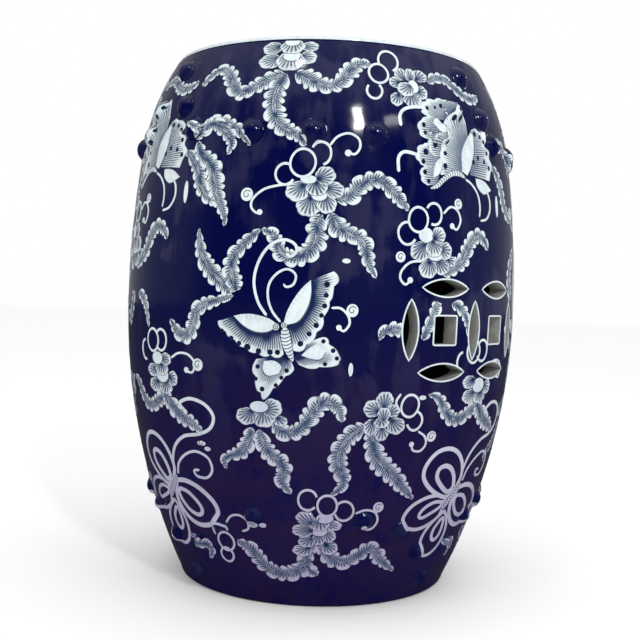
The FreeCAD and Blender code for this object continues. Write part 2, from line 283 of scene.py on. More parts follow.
BUTTERFLY_ANTENNAE = (
    ((-13.4, 236.4), (-15.8, 247), (-17, 262), (-16, 277), (-13.4, 289), (-10, 294), (-7.2, 291.6),
     (-6.4, 286), (-7.8, 281.6), (-9, 284)),
    ((-9.8, 232), (-12, 240), (-13.2, 250), (-13, 260.6), (-11, 268.8), (-8.4, 272), (-6.4, 267.8),
     (-6.9, 260.8), (-8.6, 258.6), (-9.4, 261)),
)

# Spotted butterfly seen from the side, given in the same way
SPOTTED_WINGS = (
    (((43.8, 384), (42, 377), (40.9, 366), (40.3, 352)),
     ((43.6, 396), (42.6, 404), (41.4, 411.5), (39.6, 408), (38, 403.6), (37.7, 401), (36, 398),
      (34.4, 392), (34.4, 389), (33.2, 385), (33.6, 380), (32.2, 375.5), (32.7, 371), (32, 366),
      (32.4, 361.5), (31.4, 357), (32.2, 350)), 0),
    (((44.4, 386), (44.6, 380), (44.4, 368), (43.6, 353)),
     ((46, 390.4), (48, 392.4), (49.4, 390.6), (51.6, 389.6), (53.5, 384.6), (51.8, 379.4), (54.6, 376),
      (54.2, 370), (55.8, 364), (54.4, 358), (53.4, 351)), 0),
    (((34.5, 394), (35.6, 397), (37, 401), (39, 406)),
     ((29, 394.6), (26.7, 399), (26.9, 405), (29, 409.4), (32, 410.6), (34.4, 412), (38.8, 410.6)), 5),
    (((31.6, 378), (31.8, 384), (31.8, 389), (31.6, 394)),
     ((28.2, 376.8), (25.8, 380), (25.3, 387), (26.8, 393), (29.8, 396)), 3),
    (((33.8, 364), (34, 370), (34, 375), (34, 380)),
     ((30.4, 364), (28.5, 368.6), (28.4, 375), (30.4, 380.6), (33, 382)), 3),
    (((32, 356), (32.6, 361), (32.6, 366), (31.6, 372)),
     ((27.6, 354.4), (24.8, 358.6), (24.3, 366), (26, 372.4), (29.4, 374.6)), 4),
    (((30.6, 342), (31.6, 347), (31.8, 352), (31.2, 357)),
     ((27.6, 340.4), (25.8, 344.6), (25.5, 350.4), (26.8, 355.8), (29.8, 357.4)), 3),
)
SPOTTED_LENSES = (
    (((45.4, 388), (42.6, 380), (40.6, 370), (40.2, 355)),
     ((46.4, 385), (46.2, 372), (44.6, 360), (42.5, 352))),
    (((29.8, 347), (30, 353), (31, 360), (33, 364.4)), ((29.8, 347), (31.8, 350), (33, 356), (33, 364.4))),
    (((46, 351), (48.4, 350.8), (51, 348.8), (53.8, 343.4)),
     ((46, 351), (46.4, 344), (49.6, 338.4), (53.8, 343.4))),
)
SPOTTED_EYESPOTS = ((32.2, 388.2, 4.6, 7.6, 8),)
SPOTTED_DOTS = (
    (29.2, 402, 1.6), (32, 403.5, 1.3), (34.3, 405.5, 1.8), (27.5, 388, 1.8), (27.8, 382, 1.5),
    (30.8, 373, 1.9), (27.7, 366.8, 2.4), (26.8, 359, 1.8), (27.2, 351, 1.8), (28.3, 344.2, 1.6),
    (40, 403, 1.7), (37.7, 396, 1.9), (35.8, 386.5, 2.0), (34.9, 375.5, 2.0), (34.2, 367.5, 1.8),
    (34, 357.4, 2.2), (47.2, 387.3, 2.0), (49.8, 385.8, 1.7), (51.6, 382.5, 1.7), (52.8, 373.5, 1.8),
    (51, 366, 1.8), (53.4, 361.5, 1.9), (45.4, 363.8, 1.9), (47.8, 368, 1.8),
)
SPOTTED_BODY = (
    (28.8, 338.5, 1.0), (31, 341, 1.9), (33, 346, 2.2), (36, 351.5, 2.2), (39, 352.5, 2.2),
    (41.4, 350, 1.4),
)
SPOTTED_FEELERS = (
    ((20.4, 385), (20.2, 393), (21.6, 398.6), (24.6, 401.4), (27.4, 402)),
    ((19.4, 349), (19.4, 360), (21, 365), (24, 364.4), (26, 362)),
)
SPOTTED_TAILS = (((41.5, 349), (43.6, 346.4), (45.5, 342), (46.9, 336), (47.4, 328), (47, 320)),)

# Seat pattern, in mm from its middle: one leaf and one hook of a quarter
SEAT_LEAF = (
    (92, 8, 5), (100, 20, 7), (101, 34, 7.5), (93, 46, 7), (81, 51, 6.6), (70, 53, 5), (62, 50, 1.4),
)
SEAT_HOOK = ((100, -16), (111, -13), (117, -3), (113, 8), (103, 9), (99, 2), (104, -2))

# Butterfly drawn in outline, each wing a loop in a loop, with the line's half width
OUTLINE_LOOPS = (
    (((48.6, 98), (50, 108), (48.6, 120), (45.2, 129.4), (41, 133.4), (36.6, 131.2), (33.4, 122),
      (33, 112), (35.6, 103), (40, 95.4), (45, 91.6)), 2.3),
    (((47.2, 99), (46.2, 108), (43.8, 116), (41, 119), (38.6, 116.6), (38.4, 110), (40.8, 102.6),
      (44.6, 96)), 2.5),
    (((50, 97.6), (55, 98.6), (60.4, 94.4), (65, 85), (66, 75.4), (62.8, 65.6), (57.4, 62.4), (52.8, 66),
      (49.6, 74), (48.4, 84)), 2.6),
    (((51, 91), (55, 88.8), (58.8, 81), (59.6, 74.6), (57.6, 71), (54, 73.4), (51.2, 80), (50, 87)), 2.2),
    (((44.6, 91), (40.6, 94), (35.8, 93.2), (31, 87.4), (28.7, 78), (30.4, 69.6), (35, 66.4), (40, 69.4),
      (44, 76.6)), 2.0),
    (((44, 87.4), (40, 88.4), (36.4, 84.8), (34.6, 79), (36, 76), (39.4, 79), (42.8, 83)), 1.9),
    (((46, 79), (41.4, 70), (38.8, 60), (38.9, 50), (41, 42), (44.4, 40), (48, 44), (50, 52), (50.2, 62),
      (48.2, 73)), 1.9),
    (((45.6, 72), (43.4, 64), (43.4, 57), (45.2, 53.2), (47.2, 57), (47.6, 65), (46.8, 72)), 2.0),
)
OUTLINE_BODY = ((50.6, 102, 1.8), (49.2, 97, 2.6), (47.4, 91, 3.2), (45.6, 85, 3.2), (44, 80, 1.6))
OUTLINE_ANTENNAE = (
    ((49.8, 104), (50.4, 117), (52.6, 128), (57, 136.6), (63, 140.4), (67, 146.4), (68.2, 156),
     (65.6, 164.6), (61, 168), (57.2, 165), (56, 160.4), (58.2, 159.2)),
    ((51.4, 103), (52.8, 113), (56.6, 121.6), (61, 125.4), (65.2, 121.4), (66.2, 112), (64, 105),
     (60.2, 104.8), (59.2, 109), (61.4, 110.4)),
)


def length_property(name, description, default, least, most):
    return FloatProperty(name=name, description=description, default=default, min=least, max=most,
                         unit="LENGTH")


def colour_property(name, description, default):
    return FloatVectorProperty(name=name, description=description, subtype="COLOR", size=3, min=0, max=1,
                               default=default)


class StoolSizes(bpy.types.PropertyGroup):
    wall_thickness: length_property("Wall thickness", "Thickness of the fired wall", 0.014, 0.008, 0.02)
    slab_depth: length_property("Spigot depth", "How far the seat's spigot reaches into the mouth",
                                0.009, 0.004, 0.015)
    upper_stud: length_property("Upper stud diameter", "Diameter of the studs on the shoulder",
                                0.019, 0.01, 0.025)
    upper_rise: length_property("Upper stud rise", "Rise of the studs on the shoulder", 0.006, 0.002, 0.01)
    lower_stud: length_property("Lower stud diameter", "Diameter of the studs above the foot",
                                0.015, 0.01, 0.025)
    lower_rise: length_property("Lower stud rise", "Rise of the studs above the foot", 0.0045, 0.002, 0.01)
    paint_lift: length_property("Paint thickness", "How far the painted pattern stands off the wall",
                                0.0001, 0.00005, 0.0005)
    line_width: length_property("Line width", "Width of the painted rings and hooks", 0.002, 0.001, 0.004)
    edge_width: length_property("Coin edge width", "Width of the white line round each piercing",
                                0.0012, 0.0005, 0.003)
    turn_steps: IntProperty(name="Turning steps", description="Segments round the turned wall",
                            default=256, min=64, max=512)


class StoolColours(bpy.types.PropertyGroup):
    cobalt: colour_property("Cobalt glaze", "Deep blue of the ground", (0.001, 0.0026, 0.042))
    cobalt_thin: colour_property("Thin cobalt", "Violet grey where the glaze runs thin", (0.04, 0.038, 0.085))
    cobalt_foot: colour_property("Cobalt at the foot", "Violet blue of the lower wall",
                                 (0.012, 0.0055, 0.038))
    cobalt_cell: colour_property("Cobalt cells", "Brighter blue cells of the lower wall",
                                 (0.003, 0.003, 0.05))
    reserve: colour_property("Reserved white", "White of the pattern", (0.66, 0.75, 0.77))
    # Painted shade: the white of the lower wall is lavender and much darker than the white above, the
    # darkening standing in for shade toward the foot
    reserve_foot_shaded: colour_property("Reserved white at the foot", "Lavender white of the lower wall",
                                  (0.38, 0.36, 0.48))
    wash: colour_property("Blue-grey wash", "Watery shading in the pattern", (0.075, 0.13, 0.22))
    line: colour_property("Brush line", "Dark blue of the brush lines", (0.006, 0.013, 0.058))
    dot: colour_property("Dark dots", "Nearly black blue in the dots of the wings", (0.006, 0.01, 0.03))
    clay: colour_property("Clay", "Glazed grey clay in the piercings", (0.36, 0.36, 0.34))
    # Painted shade: the inside is coloured near black to stand for the darkness seen through the piercings
    inside: colour_property("Inside", "Dark inside of the wall", (0.03, 0.028, 0.026))
    floor: colour_property("Floor", "Pale studio floor", (0.98, 0.98, 0.98))


def sizes():
    return bpy.context.scene.garden_stool_sizes


def colours():
    return bpy.context.scene.garden_stool_colours


# The turned form of the wall

def arc_data():
    """Centre distance, centre height and radius of the lower, the upper and the shoulder arc."""
    turn = math.asin((SHOULDER_HEIGHT - BELLY_HEIGHT) / UPPER_ARC)
    reach = UPPER_ARC - SHOULDER_ARC
    lower = (BELLY_RADIUS - LOWER_ARC, BELLY_HEIGHT, LOWER_ARC)
    upper = (BELLY_RADIUS - UPPER_ARC, BELLY_HEIGHT, UPPER_ARC)
    shoulder = (upper[0] + math.cos(turn) * reach, BELLY_HEIGHT + math.sin(turn) * reach, SHOULDER_ARC)
    return lower, upper, shoulder


def wall_form(z):
    """Radius of the wall at a height, and the outward and upward part of its normal."""
    z = np.asarray(z, float)
    lower, upper, shoulder = arc_data()
    zone = np.where(z < BELLY_HEIGHT, 0, np.where(z < SHOULDER_HEIGHT, 1, 2))
    table = np.array([lower, upper, shoulder])
    centre, level, radius = table[zone, 0], table[zone, 1], table[zone, 2]
    rise = (z - level) / radius
    outward = np.sqrt(np.clip(1 - rise ** 2, 0, 1))
    return centre - PAINT_ALLOWANCE + radius * outward, outward, rise


def on_wall(place, z, lift):
    """Points in metres on the wall, or off it by the lift in mm."""
    radius, outward, rise = wall_form(z)
    turn = np.radians(np.asarray(place, float) + FRONT_TO_X_AXIS)
    reach = radius + lift * outward
    return np.stack([reach * np.cos(turn), reach * np.sin(turn), z + lift * rise], -1) * MM


def garland_places(steps, peak, front_span):
    """Place and height of each stud of four garlands that hang round the wall."""
    places = []
    for start, span in ((PEAK_ANGLE, HALF_TURN - front_span), (PEAK_ANGLE - front_span, front_span)):
        middle = start + span / 2
        places.append((start, peak))
        places.append((middle, steps[0][0]))
        for share, place in steps[1:]:
            places.append((middle - place * span / 2, share))
            places.append((middle + place * span / 2, share))
    doubled = [(turn + half, share) for turn, share in places for half in (0.0, HALF_TURN)]
    return [(turn - FRONT_TO_X_AXIS, share * HEIGHT) for turn, share in doubled]


def all_studs():
    """Place, height, diameter and rise of each stud, for the upper and the lower ones."""
    s = sizes()
    groups = []
    for steps, peak, span, diameter, rise in (
            (UPPER_STEPS, UPPER_PEAK, UPPER_SPAN_ANGLE, s.upper_stud, s.upper_rise),
            (LOWER_STEPS, LOWER_PEAK, LOWER_SPAN_ANGLE, s.lower_stud, s.lower_rise)):
        size = (diameter / MM, rise / MM)
        groups.append([place + size for place in garland_places(steps, peak, span)])
    return groups


def dome_rise(distance, diameter, rise):
    """Height of a stud over the wall, a ball's cap that runs softly into it."""
    ball = ((diameter / 2) ** 2 + rise ** 2) / (2 * rise)
    cap = np.sqrt(np.clip(ball ** 2 - distance ** 2, 0, None)) - (ball - rise)
    gained = math.sqrt(rise ** 2 + STUD_SOFT_EDGE ** 2) - rise
    return 0.5 * (cap + np.sqrt(cap ** 2 + STUD_SOFT_EDGE ** 2)) - 0.5 * gained


def angle_between(first, second):
    """Turn from the second angle to the first, within half a turn either way."""
    return (first - second + HALF_TURN) % (2 * HALF_TURN) - HALF_TURN


# Making and cutting meshes

def pick_only(piece):
    bpy.ops.object.select_all(action="DESELECT")
    piece.select_set(True)
    bpy.context.view_layer.objects.active = piece


def new_piece(name, points, edges, faces):
    mesh = bpy.data.meshes.new(name)
    mesh.from_pydata(points, edges, faces)
    piece = bpy.data.objects.new(name, mesh)
    bpy.context.collection.objects.link(piece)
    return piece


def apply_modifier(piece, kind, **settings):
    pick_only(piece)
    bpy.ops.object.modifier_add(type=kind)
    modifier = piece.modifiers[-1]
    for key, value in settings.items():
        setattr(modifier, key, value)
    bpy.ops.object.modifier_apply(modifier=modifier.name)


def smooth(piece, angle):
    pick_only(piece)
    bpy.ops.object.shade_smooth_by_angle(angle=math.radians(angle))


def turned(name, profile, closed, steps):
    """Spins a profile of (radius, height) points in mm round the upright axis."""
    points = [(r * MM, 0.0, z * MM) for r, z in profile]
    edges = [(i, i + 1) for i in range(len(points) - 1)]
    if closed:
        edges.append((len(points) - 1, 0))
    piece = new_piece(name, points, edges, [])
    pick_only(piece)
    bpy.ops.object.mode_set(mode="EDIT")
    bpy.ops.mesh.select_all(action="SELECT")
    bpy.ops.mesh.spin(steps=steps, angle=2 * math.pi, center=(0, 0, 0), axis=(0, 0, 1))
    bpy.ops.mesh.select_all(action="SELECT")
    bpy.ops.mesh.remove_doubles(threshold=MERGE_DISTANCE)
    bpy.ops.mesh.normals_make_consistent(inside=False)
    bpy.ops.object.mode_set(mode="OBJECT")
    return piece


def lens_arc(length, width):
    """Radius of a petal's two arcs, and how far their centres lie from its middle."""
    half, bulge = length / 2, width / 2
    radius = (half ** 2 + bulge ** 2) / (2 * bulge)
    return radius, radius - bulge


def lens_outline(length, width):
    """Points round a petal standing upright: two arcs that meet in its tips."""
    radius, centre = lens_arc(length, width)
    turn = math.asin(length / 2 / radius)
    sweep = np.linspace(-turn, turn, LENS_POINTS)
    right = np.stack([radius * np.cos(sweep) - centre, radius * np.sin(sweep)], -1)
    return np.concatenate([right[:-1], -right[:-1]])


def lens_reach(run, length, width):
    """Half width of a petal at a distance along it from its middle."""
    radius, centre = lens_arc(length, width)
    return np.sqrt(np.clip(radius ** 2 - run ** 2, 0, None)) - centre


def square_outline(side):
    """Points round a square with small round corners."""
    middle = (side / 2 - SQUARE_CORNER) * math.sqrt(2)
    points = []
    for quarter in range(4):
        diagonal = math.radians(quarter * 90 + 45)
        for step in range(4):
            turn = math.radians(quarter * 90 + step * 30)
            points.append((middle * math.cos(diagonal) + SQUARE_CORNER * math.cos(turn),
                           middle * math.sin(diagonal) + SQUARE_CORNER * math.sin(turn)))
    return np.array(points)


def coin_layout():
    """Kind, turn and height of each piercing of one double coin."""
    pitch = math.degrees(COIN_PITCH / BELLY_RADIUS)
    layout = [("upright", turn, COIN_HEIGHT) for turn in (-pitch, 0.0, pitch)]
    for turn in (-pitch / 2, pitch / 2):
        layout.append(("square", turn, COIN_HEIGHT))
        for lift in (-COIN_PITCH / 2, COIN_PITCH / 2):
            layout.append(("lying", turn, COIN_HEIGHT + lift))
    return layout


def wall_piercings():
    """Outline, turn and height of each piercing of one double coin."""
    upright = lens_outline(PETAL_LENGTH, PETAL_WIDTH)
    lying = upright[:, ::-1] * np.array([-1, 1])
    shapes = {"upright": upright, "lying": lying, "square": square_outline(COIN_SQUARE)}
    return [(shapes[kind], turn, height) for kind, turn, height in coin_layout()]


def over_piercing(place, z, margin):
    """True where a point of the wall lies over a piercing made the margin in mm wider."""
    radius = wall_form(z)[0]
    found = np.zeros(np.shape(place), bool)
    for centre in (COIN_PLACE, COIN_PLACE + HALF_TURN):
        for kind, turn, height in coin_layout():
            aside = angle_between(place, centre) - turn
            across = np.abs(radius * np.sin(np.radians(aside)))
            along = np.abs(z - height)
            if kind == "upright":
                inside = across < lens_reach(along, PETAL_LENGTH, PETAL_WIDTH) + margin
            elif kind == "lying":
                inside = along < lens_reach(across, PETAL_LENGTH, PETAL_WIDTH) + margin
            else:
                inside = np.maximum(across, along) < COIN_SQUARE / 2 + margin
            found |= inside & (np.abs(aside) < COIN_SIDE_ANGLE)
    return found


def seat_piercings():
    """Outline of each piercing of the seat, seen from above."""
    petal = lens_outline(SEAT_PETAL_LENGTH, SEAT_PETAL_WIDTH)
    piercings = [square_outline(SEAT_SQUARE)]
    for quarter in range(4):
        turn = math.radians(quarter * 90)
        spin = np.array([[math.cos(turn), math.sin(turn)], [-math.sin(turn), math.cos(turn)]])
        piercings.append((petal + np.array([SEAT_COIN_PITCH / 2, 0])) @ spin)
    return piercings


def joined(name, pieces):
    pick_only(pieces[0])
    for piece in pieces:
        piece.select_set(True)
    bpy.ops.object.join()
    pieces[0].name = name
    pieces[0].data.name = name
    return pieces[0]


def cutter(outline, turn, height, start, end):
    """A bar of the given outline along +X, turned round the upright axis."""
    points = [(start * MM, y * MM, z * MM) for y, z in outline]
    piece = new_piece("cutter", points, [], [list(range(len(points)))[::-1]])
    pick_only(piece)
    bpy.ops.object.mode_set(mode="EDIT")
    bpy.ops.mesh.select_all(action="SELECT")
    bpy.ops.mesh.extrude_region_move(TRANSFORM_OT_translate={"value": ((end - start) * MM, 0, 0)})
    bpy.ops.mesh.select_all(action="SELECT")
    bpy.ops.mesh.normals_make_consistent(inside=False)
    bpy.ops.object.mode_set(mode="OBJECT")
    piece.data.transform(Matrix.Rotation(math.radians(turn), 4, "Z"))
    piece.data.transform(Matrix.Translation((0, 0, height * MM)))
    return piece


def cut_through(piece, cutters, material):
    tool = joined("cutter", cutters)
    tool.data.materials.append(material)
    apply_modifier(piece, "BOOLEAN", operation="DIFFERENCE", object=tool, solver="EXACT",
                   material_mode="TRANSFER")
    bpy.data.objects.remove(tool, do_unlink=True)


# Painted shapes. Lengths are in mm, and depths run from a shape's root at 0 to its rim at 1
CURVE_STEPS = 14
PETAL_DEPTHS = (0.0, 0.34, 0.64, 0.88, 1.0)
BALL_DEPTHS = (0.0, 0.6, 1.0)
PETAL_NOTCH = 0.09
PETAL_LINES = 1.9
LEAF_STEP = 1.15
LEAF_TIP = 2.5
LEAF_DEPTHS = (0.0, 0.4, 0.75, 1.0)
LEAF_LINE_GAP = 1.9
LOBE_LENGTH = 7.6
LOBE_LEAN = 0.5
MIDRIB = 0.17
MIDRIB_SLOT = 0
LOBE_SLOT = 1
LINE_STEP = 1.3
RING_OVAL = 0.88
WING_DEPTHS = (0.0, 0.15, 0.35, 0.55, 0.75, 0.9, 1.0)
WING_STEP = 1.4
WING_LINE_GAP = 1.5


class Surface:
    """What the painted shapes need to know of the surface they lie on."""

    def shifted(self, place, z, right, up):
        """A place and height moved by lengths in mm to the right and up."""
        across, slope = self.metric(z)
        return place + right / across, z + up * slope

    def evenly(self, curve, step):
        """The curve sampled again at even steps in mm, with the length run so far."""
        across, slope = self.metric(curve[:, 1])
        right = np.diff(curve[:, 0]) * (across[1:] + across[:-1]) / 2
        up = np.diff(curve[:, 1]) / slope[1:]
        run = np.concatenate([[0], np.cumsum(np.hypot(right, up))])
        at = np.linspace(0, run[-1], max(int(round(run[-1] / step)), 3) + 1)
        return np.stack([np.interp(at, run, curve[:, k]) for k in range(curve.shape[1])], -1), at

    def ahead(self, curve):
        """Direction of the curve in mm to the right and up."""
        across, slope = self.metric(curve[:, 1])
        right = np.gradient(curve[:, 0]) * across
        up = np.gradient(curve[:, 1]) / slope
        size = np.hypot(right, up) + 1e-9
        return right / size, up / size


class Wall(Surface):
    """The wall: places are degrees round it, heights are mm."""

    NEAR_ANGLE = 7.0
    NEAR_HEIGHT = 13.0
    STUD_SKIRT = 1.6
    STUD_CLEARANCE = 0.35
    RIM_GAP = 0.5

    def __init__(self):
        upper, lower = all_studs()
        self.studs = np.array(upper + lower)

    def draped(self, place, z):
        """How far the studs below lift a point of the pattern, in mm."""
        lift = np.zeros(np.shape(z))
        width = (np.max(place) - np.min(place)) / 2
        close = np.abs(angle_between(self.studs[:, 0], np.mean(place))) < width + self.NEAR_ANGLE
        close &= self.studs[:, 1] > np.min(z) - self.NEAR_HEIGHT
        close &= self.studs[:, 1] < np.max(z) + self.NEAR_HEIGHT
        radius, outward = wall_form(z)[:2]
        for stud_place, stud_z, diameter, stud_rise in self.studs[close]:
            across = np.radians(angle_between(place, stud_place)) * radius
            distance = np.hypot(across, (z - stud_z) / outward)
            near = distance < diameter / 2 + self.STUD_SKIRT
            lift = np.where(near, np.maximum(lift, dome_rise(distance, diameter, stud_rise)), lift)
        return lift + self.STUD_CLEARANCE * np.minimum(lift, 1.0)

    def metric(self, z):
        radius, outward = wall_form(z)[:2]
        return np.radians(radius), outward

    def points(self, place, z, lift):
        return on_wall(place, np.minimum(z, WALL_TOP - self.RIM_GAP), lift + self.draped(place, z))

    def pierced(self, place, z, margin):
        return over_piercing(place, z, margin)


class Seat(Surface):
    """The flat seat: places and heights are mm from its middle."""

    def metric(self, z):
        return np.ones(np.shape(z)), np.ones(np.shape(z))

    def draped(self, x, y):
        return np.zeros(np.shape(x))

    def points(self, x, y, lift):
        return np.stack([x, y, HEIGHT - PAINT_ALLOWANCE + lift], -1) * MM

    def pierced(self, x, y, margin):
        return np.zeros(np.shape(x), bool)


class Paint:
    """Collects painted shapes on a surface and makes one closed thin piece of them."""

    LAYER = 0.03
    DEPTH = 0.35
    HOLE_MARGIN = -0.6
    FLAT_ENOUGH = 0.2

    def __init__(self, surface, turns):
        self.surface = surface
        self.turns = turns
        self.sheets = {"points": [], "strokes": [], "faces": [], "slots": [], "total": 0}
        self.buttons = {"points": [], "strokes": [], "faces": [], "slots": [], "total": 0}

    def copies(self, place):
        """Turns at which a shape is laid; the middle of the front also goes on the sides."""
        turns = list(self.turns)
        if turns == PANEL_TURNS and place.min() > SIDE_PANEL[0] and place.max() < SIDE_PANEL[1]:
            turns += SIDE_PANEL_TURNS
        return turns

    def lift_of(self, layer):
        return sizes().paint_lift / MM + self.LAYER * layer

    def store(self, pack, points, stroke, faces, slot):
        """Adds one shape's points, strokes and faces to a pack."""
        pack["points"].append(points)
        pack["strokes"].append(stroke)
        pack["faces"] += faces
        pack["slots"] += [slot] * len(faces)
        pack["total"] += len(points)

    def quads(self, place, z, start):
        """Faces of a grid of points, turned to face outward, and the numbers of the points."""
        rows, columns = place.shape
        index = np.arange(rows * columns).reshape(rows, columns) + start
        faces = np.stack([index[:-1, :-1], index[1:, :-1], index[1:, 1:], index[:-1, 1:]], -1)
        down = place[1:, :-1] - place[:-1, :-1], z[1:, :-1] - z[:-1, :-1]
        over = place[:-1, 1:] - place[:-1, :-1], z[:-1, 1:] - z[:-1, :-1]
        inward = (down[0] * over[1] - down[1] * over[0]).sum() < 0
        return (faces[..., ::-1] if inward else faces), index

    def laid(self, place, z, stroke, layer, slot):
        """Adds one open sheet, left out over the piercings."""
        points = self.surface.points(place, z, np.full(place.shape, self.lift_of(layer)))
        faces = self.quads(place, z, self.sheets["total"])[0]
        hole = self.surface.pierced(place, z, self.HOLE_MARGIN)
        gone = hole[:-1, :-1] | hole[1:, :-1] | hole[1:, 1:] | hole[:-1, 1:]
        kept = faces[~gone].reshape(-1, 4).tolist()
        self.store(self.sheets, points.reshape(-1, 3), stroke.reshape(-1, 3), kept, slot)

    def sheet(self, place, z, stroke, layer, slot):
        for turn in self.copies(place):
            self.laid(place + turn, z, stroke, layer, slot)

    def button(self, place, z, stroke, layer, slot):
        """A small closed shape whose last column is its rim; over a stud it is laid as a sheet."""
        lift = self.lift_of(layer)
        for turn in self.copies(place):
            at = place + turn
            if self.surface.pierced(at, z, self.HOLE_MARGIN).any():
                continue
            if self.surface.draped(at, z).max() > self.FLAT_ENOUGH:
                self.laid(at, z, stroke, layer, slot)
                continue
            top = self.surface.points(at, z, np.full(place.shape, lift)).reshape(-1, 3)
            low = self.surface.points(at[:-1, -1], z[:-1, -1], np.full(len(at) - 1, lift - self.DEPTH))
            faces, index = self.quads(place, z, self.buttons["total"])
            below = (np.arange(len(low)) + self.buttons["total"] + len(top)).tolist()
            rim = index[:-1, -1].tolist()
            after = rim[1:] + rim[:1]
            below_after = below[1:] + below[:1]
            skirt = [list(corners) for corners in zip(rim, below, below_after, after)]
            strokes = np.concatenate([stroke.reshape(-1, 3), stroke[:-1, -1]])
            self.store(self.buttons, np.concatenate([top, low]), strokes,
                       faces.reshape(-1, 4).tolist() + skirt + [below[::-1]], slot)

    def build(self, name, pack, materials):
        """One mesh of all the shapes in a pack, with how the brush ran kept as an attribute."""
        piece = new_piece(name, np.concatenate(pack["points"]).tolist(), [], pack["faces"])
        mesh = piece.data
        layer = mesh.attributes.new("stroke", "FLOAT_VECTOR", "POINT")
        layer.data.foreach_set("vector", np.concatenate(pack["strokes"]).astype(np.float32).ravel())
        for material in materials:
            mesh.materials.append(material)
        mesh.polygons.foreach_set("material_index", np.array(pack["slots"], np.int32))
        pick_only(piece)
        bpy.ops.object.mode_set(mode="EDIT")
        bpy.ops.mesh.select_all(action="SELECT")
        bpy.ops.mesh.delete_loose(use_verts=True, use_edges=True, use_faces=False)
        bpy.ops.mesh.select_all(action="SELECT")
        bpy.ops.mesh.remove_doubles(threshold=MERGE_DISTANCE)
        bpy.ops.object.mode_set(mode="OBJECT")
        return piece

    def finish(self, name, materials):
        pieces = []
        if self.sheets["faces"]:
            pieces.append(self.build(name, self.sheets, materials))
            apply_modifier(pieces[0], "SOLIDIFY", thickness=self.DEPTH * MM, offset=-1.0)
        if self.buttons["faces"]:
            pieces.append(self.build(name, self.buttons, materials))
        piece = joined(name, pieces)
        smooth(piece, 40)
        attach(piece, "root")


def flowing(points):
    """A smooth curve through the points."""
    p = np.array(points, float)
    ends = np.concatenate([[2 * p[0] - p[1]], p, [2 * p[-1] - p[-2]]])
    t = np.linspace(0, 1, CURVE_STEPS, endpoint=False)[:, None]
    out = []
    for i in range(1, len(ends) - 2):
        a, b, c, d = ends[i - 1:i + 3]
        square = 2 * a - 5 * b + 4 * c - d
        cube = 3 * b - a - 3 * c + d
        out.append(0.5 * (2 * b + (c - a) * t + square * t ** 2 + cube * t ** 3))
    out.append(p[-1:])
    return np.concatenate(out)


def scallop(phase):
    """A row of notches: 1 in each notch and 0 between, one for each step of the phase."""
    return (1 - np.abs(np.sin(np.pi * phase))) ** 1.3


def strokes_of(run, across, seed, shape):
    """What the brushwork reads at each point: run of the brush, place across it, and a seed."""
    return np.stack([np.broadcast_to(run, shape), np.broadcast_to(across, shape), np.full(shape, seed)], -1)


def ribbon(paint, curve, run, half, across, layer, slot, seed):
    """A flat band along a curve, its points across it given as shares of its half width."""
    ahead_x, ahead_y = paint.surface.ahead(curve)
    offset = across[None, :] * half[:, None]
    right, up = -ahead_y[:, None] * offset, ahead_x[:, None] * offset
    place, z = paint.surface.shifted(curve[:, :1], curve[:, 1:2], right, up)
    paint.sheet(place, z, strokes_of(run[:, None], across, seed, place.shape), layer, slot)


def petal(paint, place, z, half_x, half_y, root_x, root_y, layer, slot, tilt=0.0, seed=0.0, around=16,
          depths=PETAL_DEPTHS, notches=0):
    """An oval petal drawn from its root to its rim."""
    depth = np.array(depths)
    first = math.atan2(root_y / half_y, root_x / half_x)
    share = np.linspace(0, 1, around + 1)
    turns = first + 2 * math.pi * share
    rim = 1 - PETAL_NOTCH * scallop(notches * share) if notches else np.ones(around + 1)
    x = root_x + (half_x * np.cos(turns) * rim - root_x)[:, None] * depth
    y = root_y + (half_y * np.sin(turns) * rim - root_y)[:, None] * depth
    c, s = math.cos(math.radians(tilt)), math.sin(math.radians(tilt))
    start, level = np.full(x.shape, float(place)), np.full(x.shape, float(z))
    at, up = paint.surface.shifted(start, level, c * x - s * y, s * x + c * y)
    at[-1], up[-1] = at[0], up[0]
    run = round((half_x + half_y) * PETAL_LINES) * share[:, None]
    paint.button(at, up, strokes_of(run, depth, seed, at.shape), layer, slot)


def leaf(paint, points, layer, seed):
    """A leaf in two ruffled halves that lean forward from a dark midrib."""
    curve, run = paint.surface.evenly(flowing(points), LEAF_STEP)
    half = curve[:, 2]
    ahead_x, ahead_y = paint.surface.ahead(curve)
    close = np.clip(np.minimum(run, run[-1] - run) / LEAF_TIP, 0.05, 1)
    depth = np.array(LEAF_DEPTHS)
    for side, start in ((-1, 0.3), (1, 0.8)):
        phase = run / LOBE_LENGTH + start + 0.14 * np.sin(0.33 * run + 9 * seed + side)
        notch = scallop(phase)
        out = side * (half * np.sqrt(close) * (1.1 - 0.42 * notch))[:, None] * depth
        lean = (LOBE_LEAN * half * close)[:, None] * depth ** 1.4
        right = -ahead_y[:, None] * out + ahead_x[:, None] * lean
        up = ahead_x[:, None] * out + ahead_y[:, None] * lean
        place, z = paint.surface.shifted(curve[:, :1], curve[:, 1:2], right, up)
        lines = np.broadcast_to(run[:, None] / LEAF_LINE_GAP, place.shape)
        stroke = np.stack([lines, np.broadcast_to(depth, place.shape), notch[:, None] * np.sqrt(depth)], -1)
        paint.sheet(place, z, stroke, layer + (0.3 if side > 0 else 0.0), LOBE_SLOT)
    ribbon(paint, curve, run, MIDRIB * half, np.array([-1, 0, 1]), layer + 1.0, MIDRIB_SLOT, seed)


def brush_line(paint, points, half_width, layer, slot, seed, taper=True):
    """A line drawn with the brush; a third number in its points is their half width."""
    curve, run = paint.surface.evenly(flowing(points), LINE_STEP)
    half = curve[:, 2] if len(points[0]) > 2 else np.full(len(run), half_width)
    if taper:
        close = np.minimum(run, run[-1] - run) / half_width
        half = half * np.sqrt(np.clip(1 - np.clip(1 - close, 0, 1) ** 2, 0.02, 1))
    ribbon(paint, curve, run, half, np.array([-1, -0.5, 0.5, 1]), layer, slot, seed)


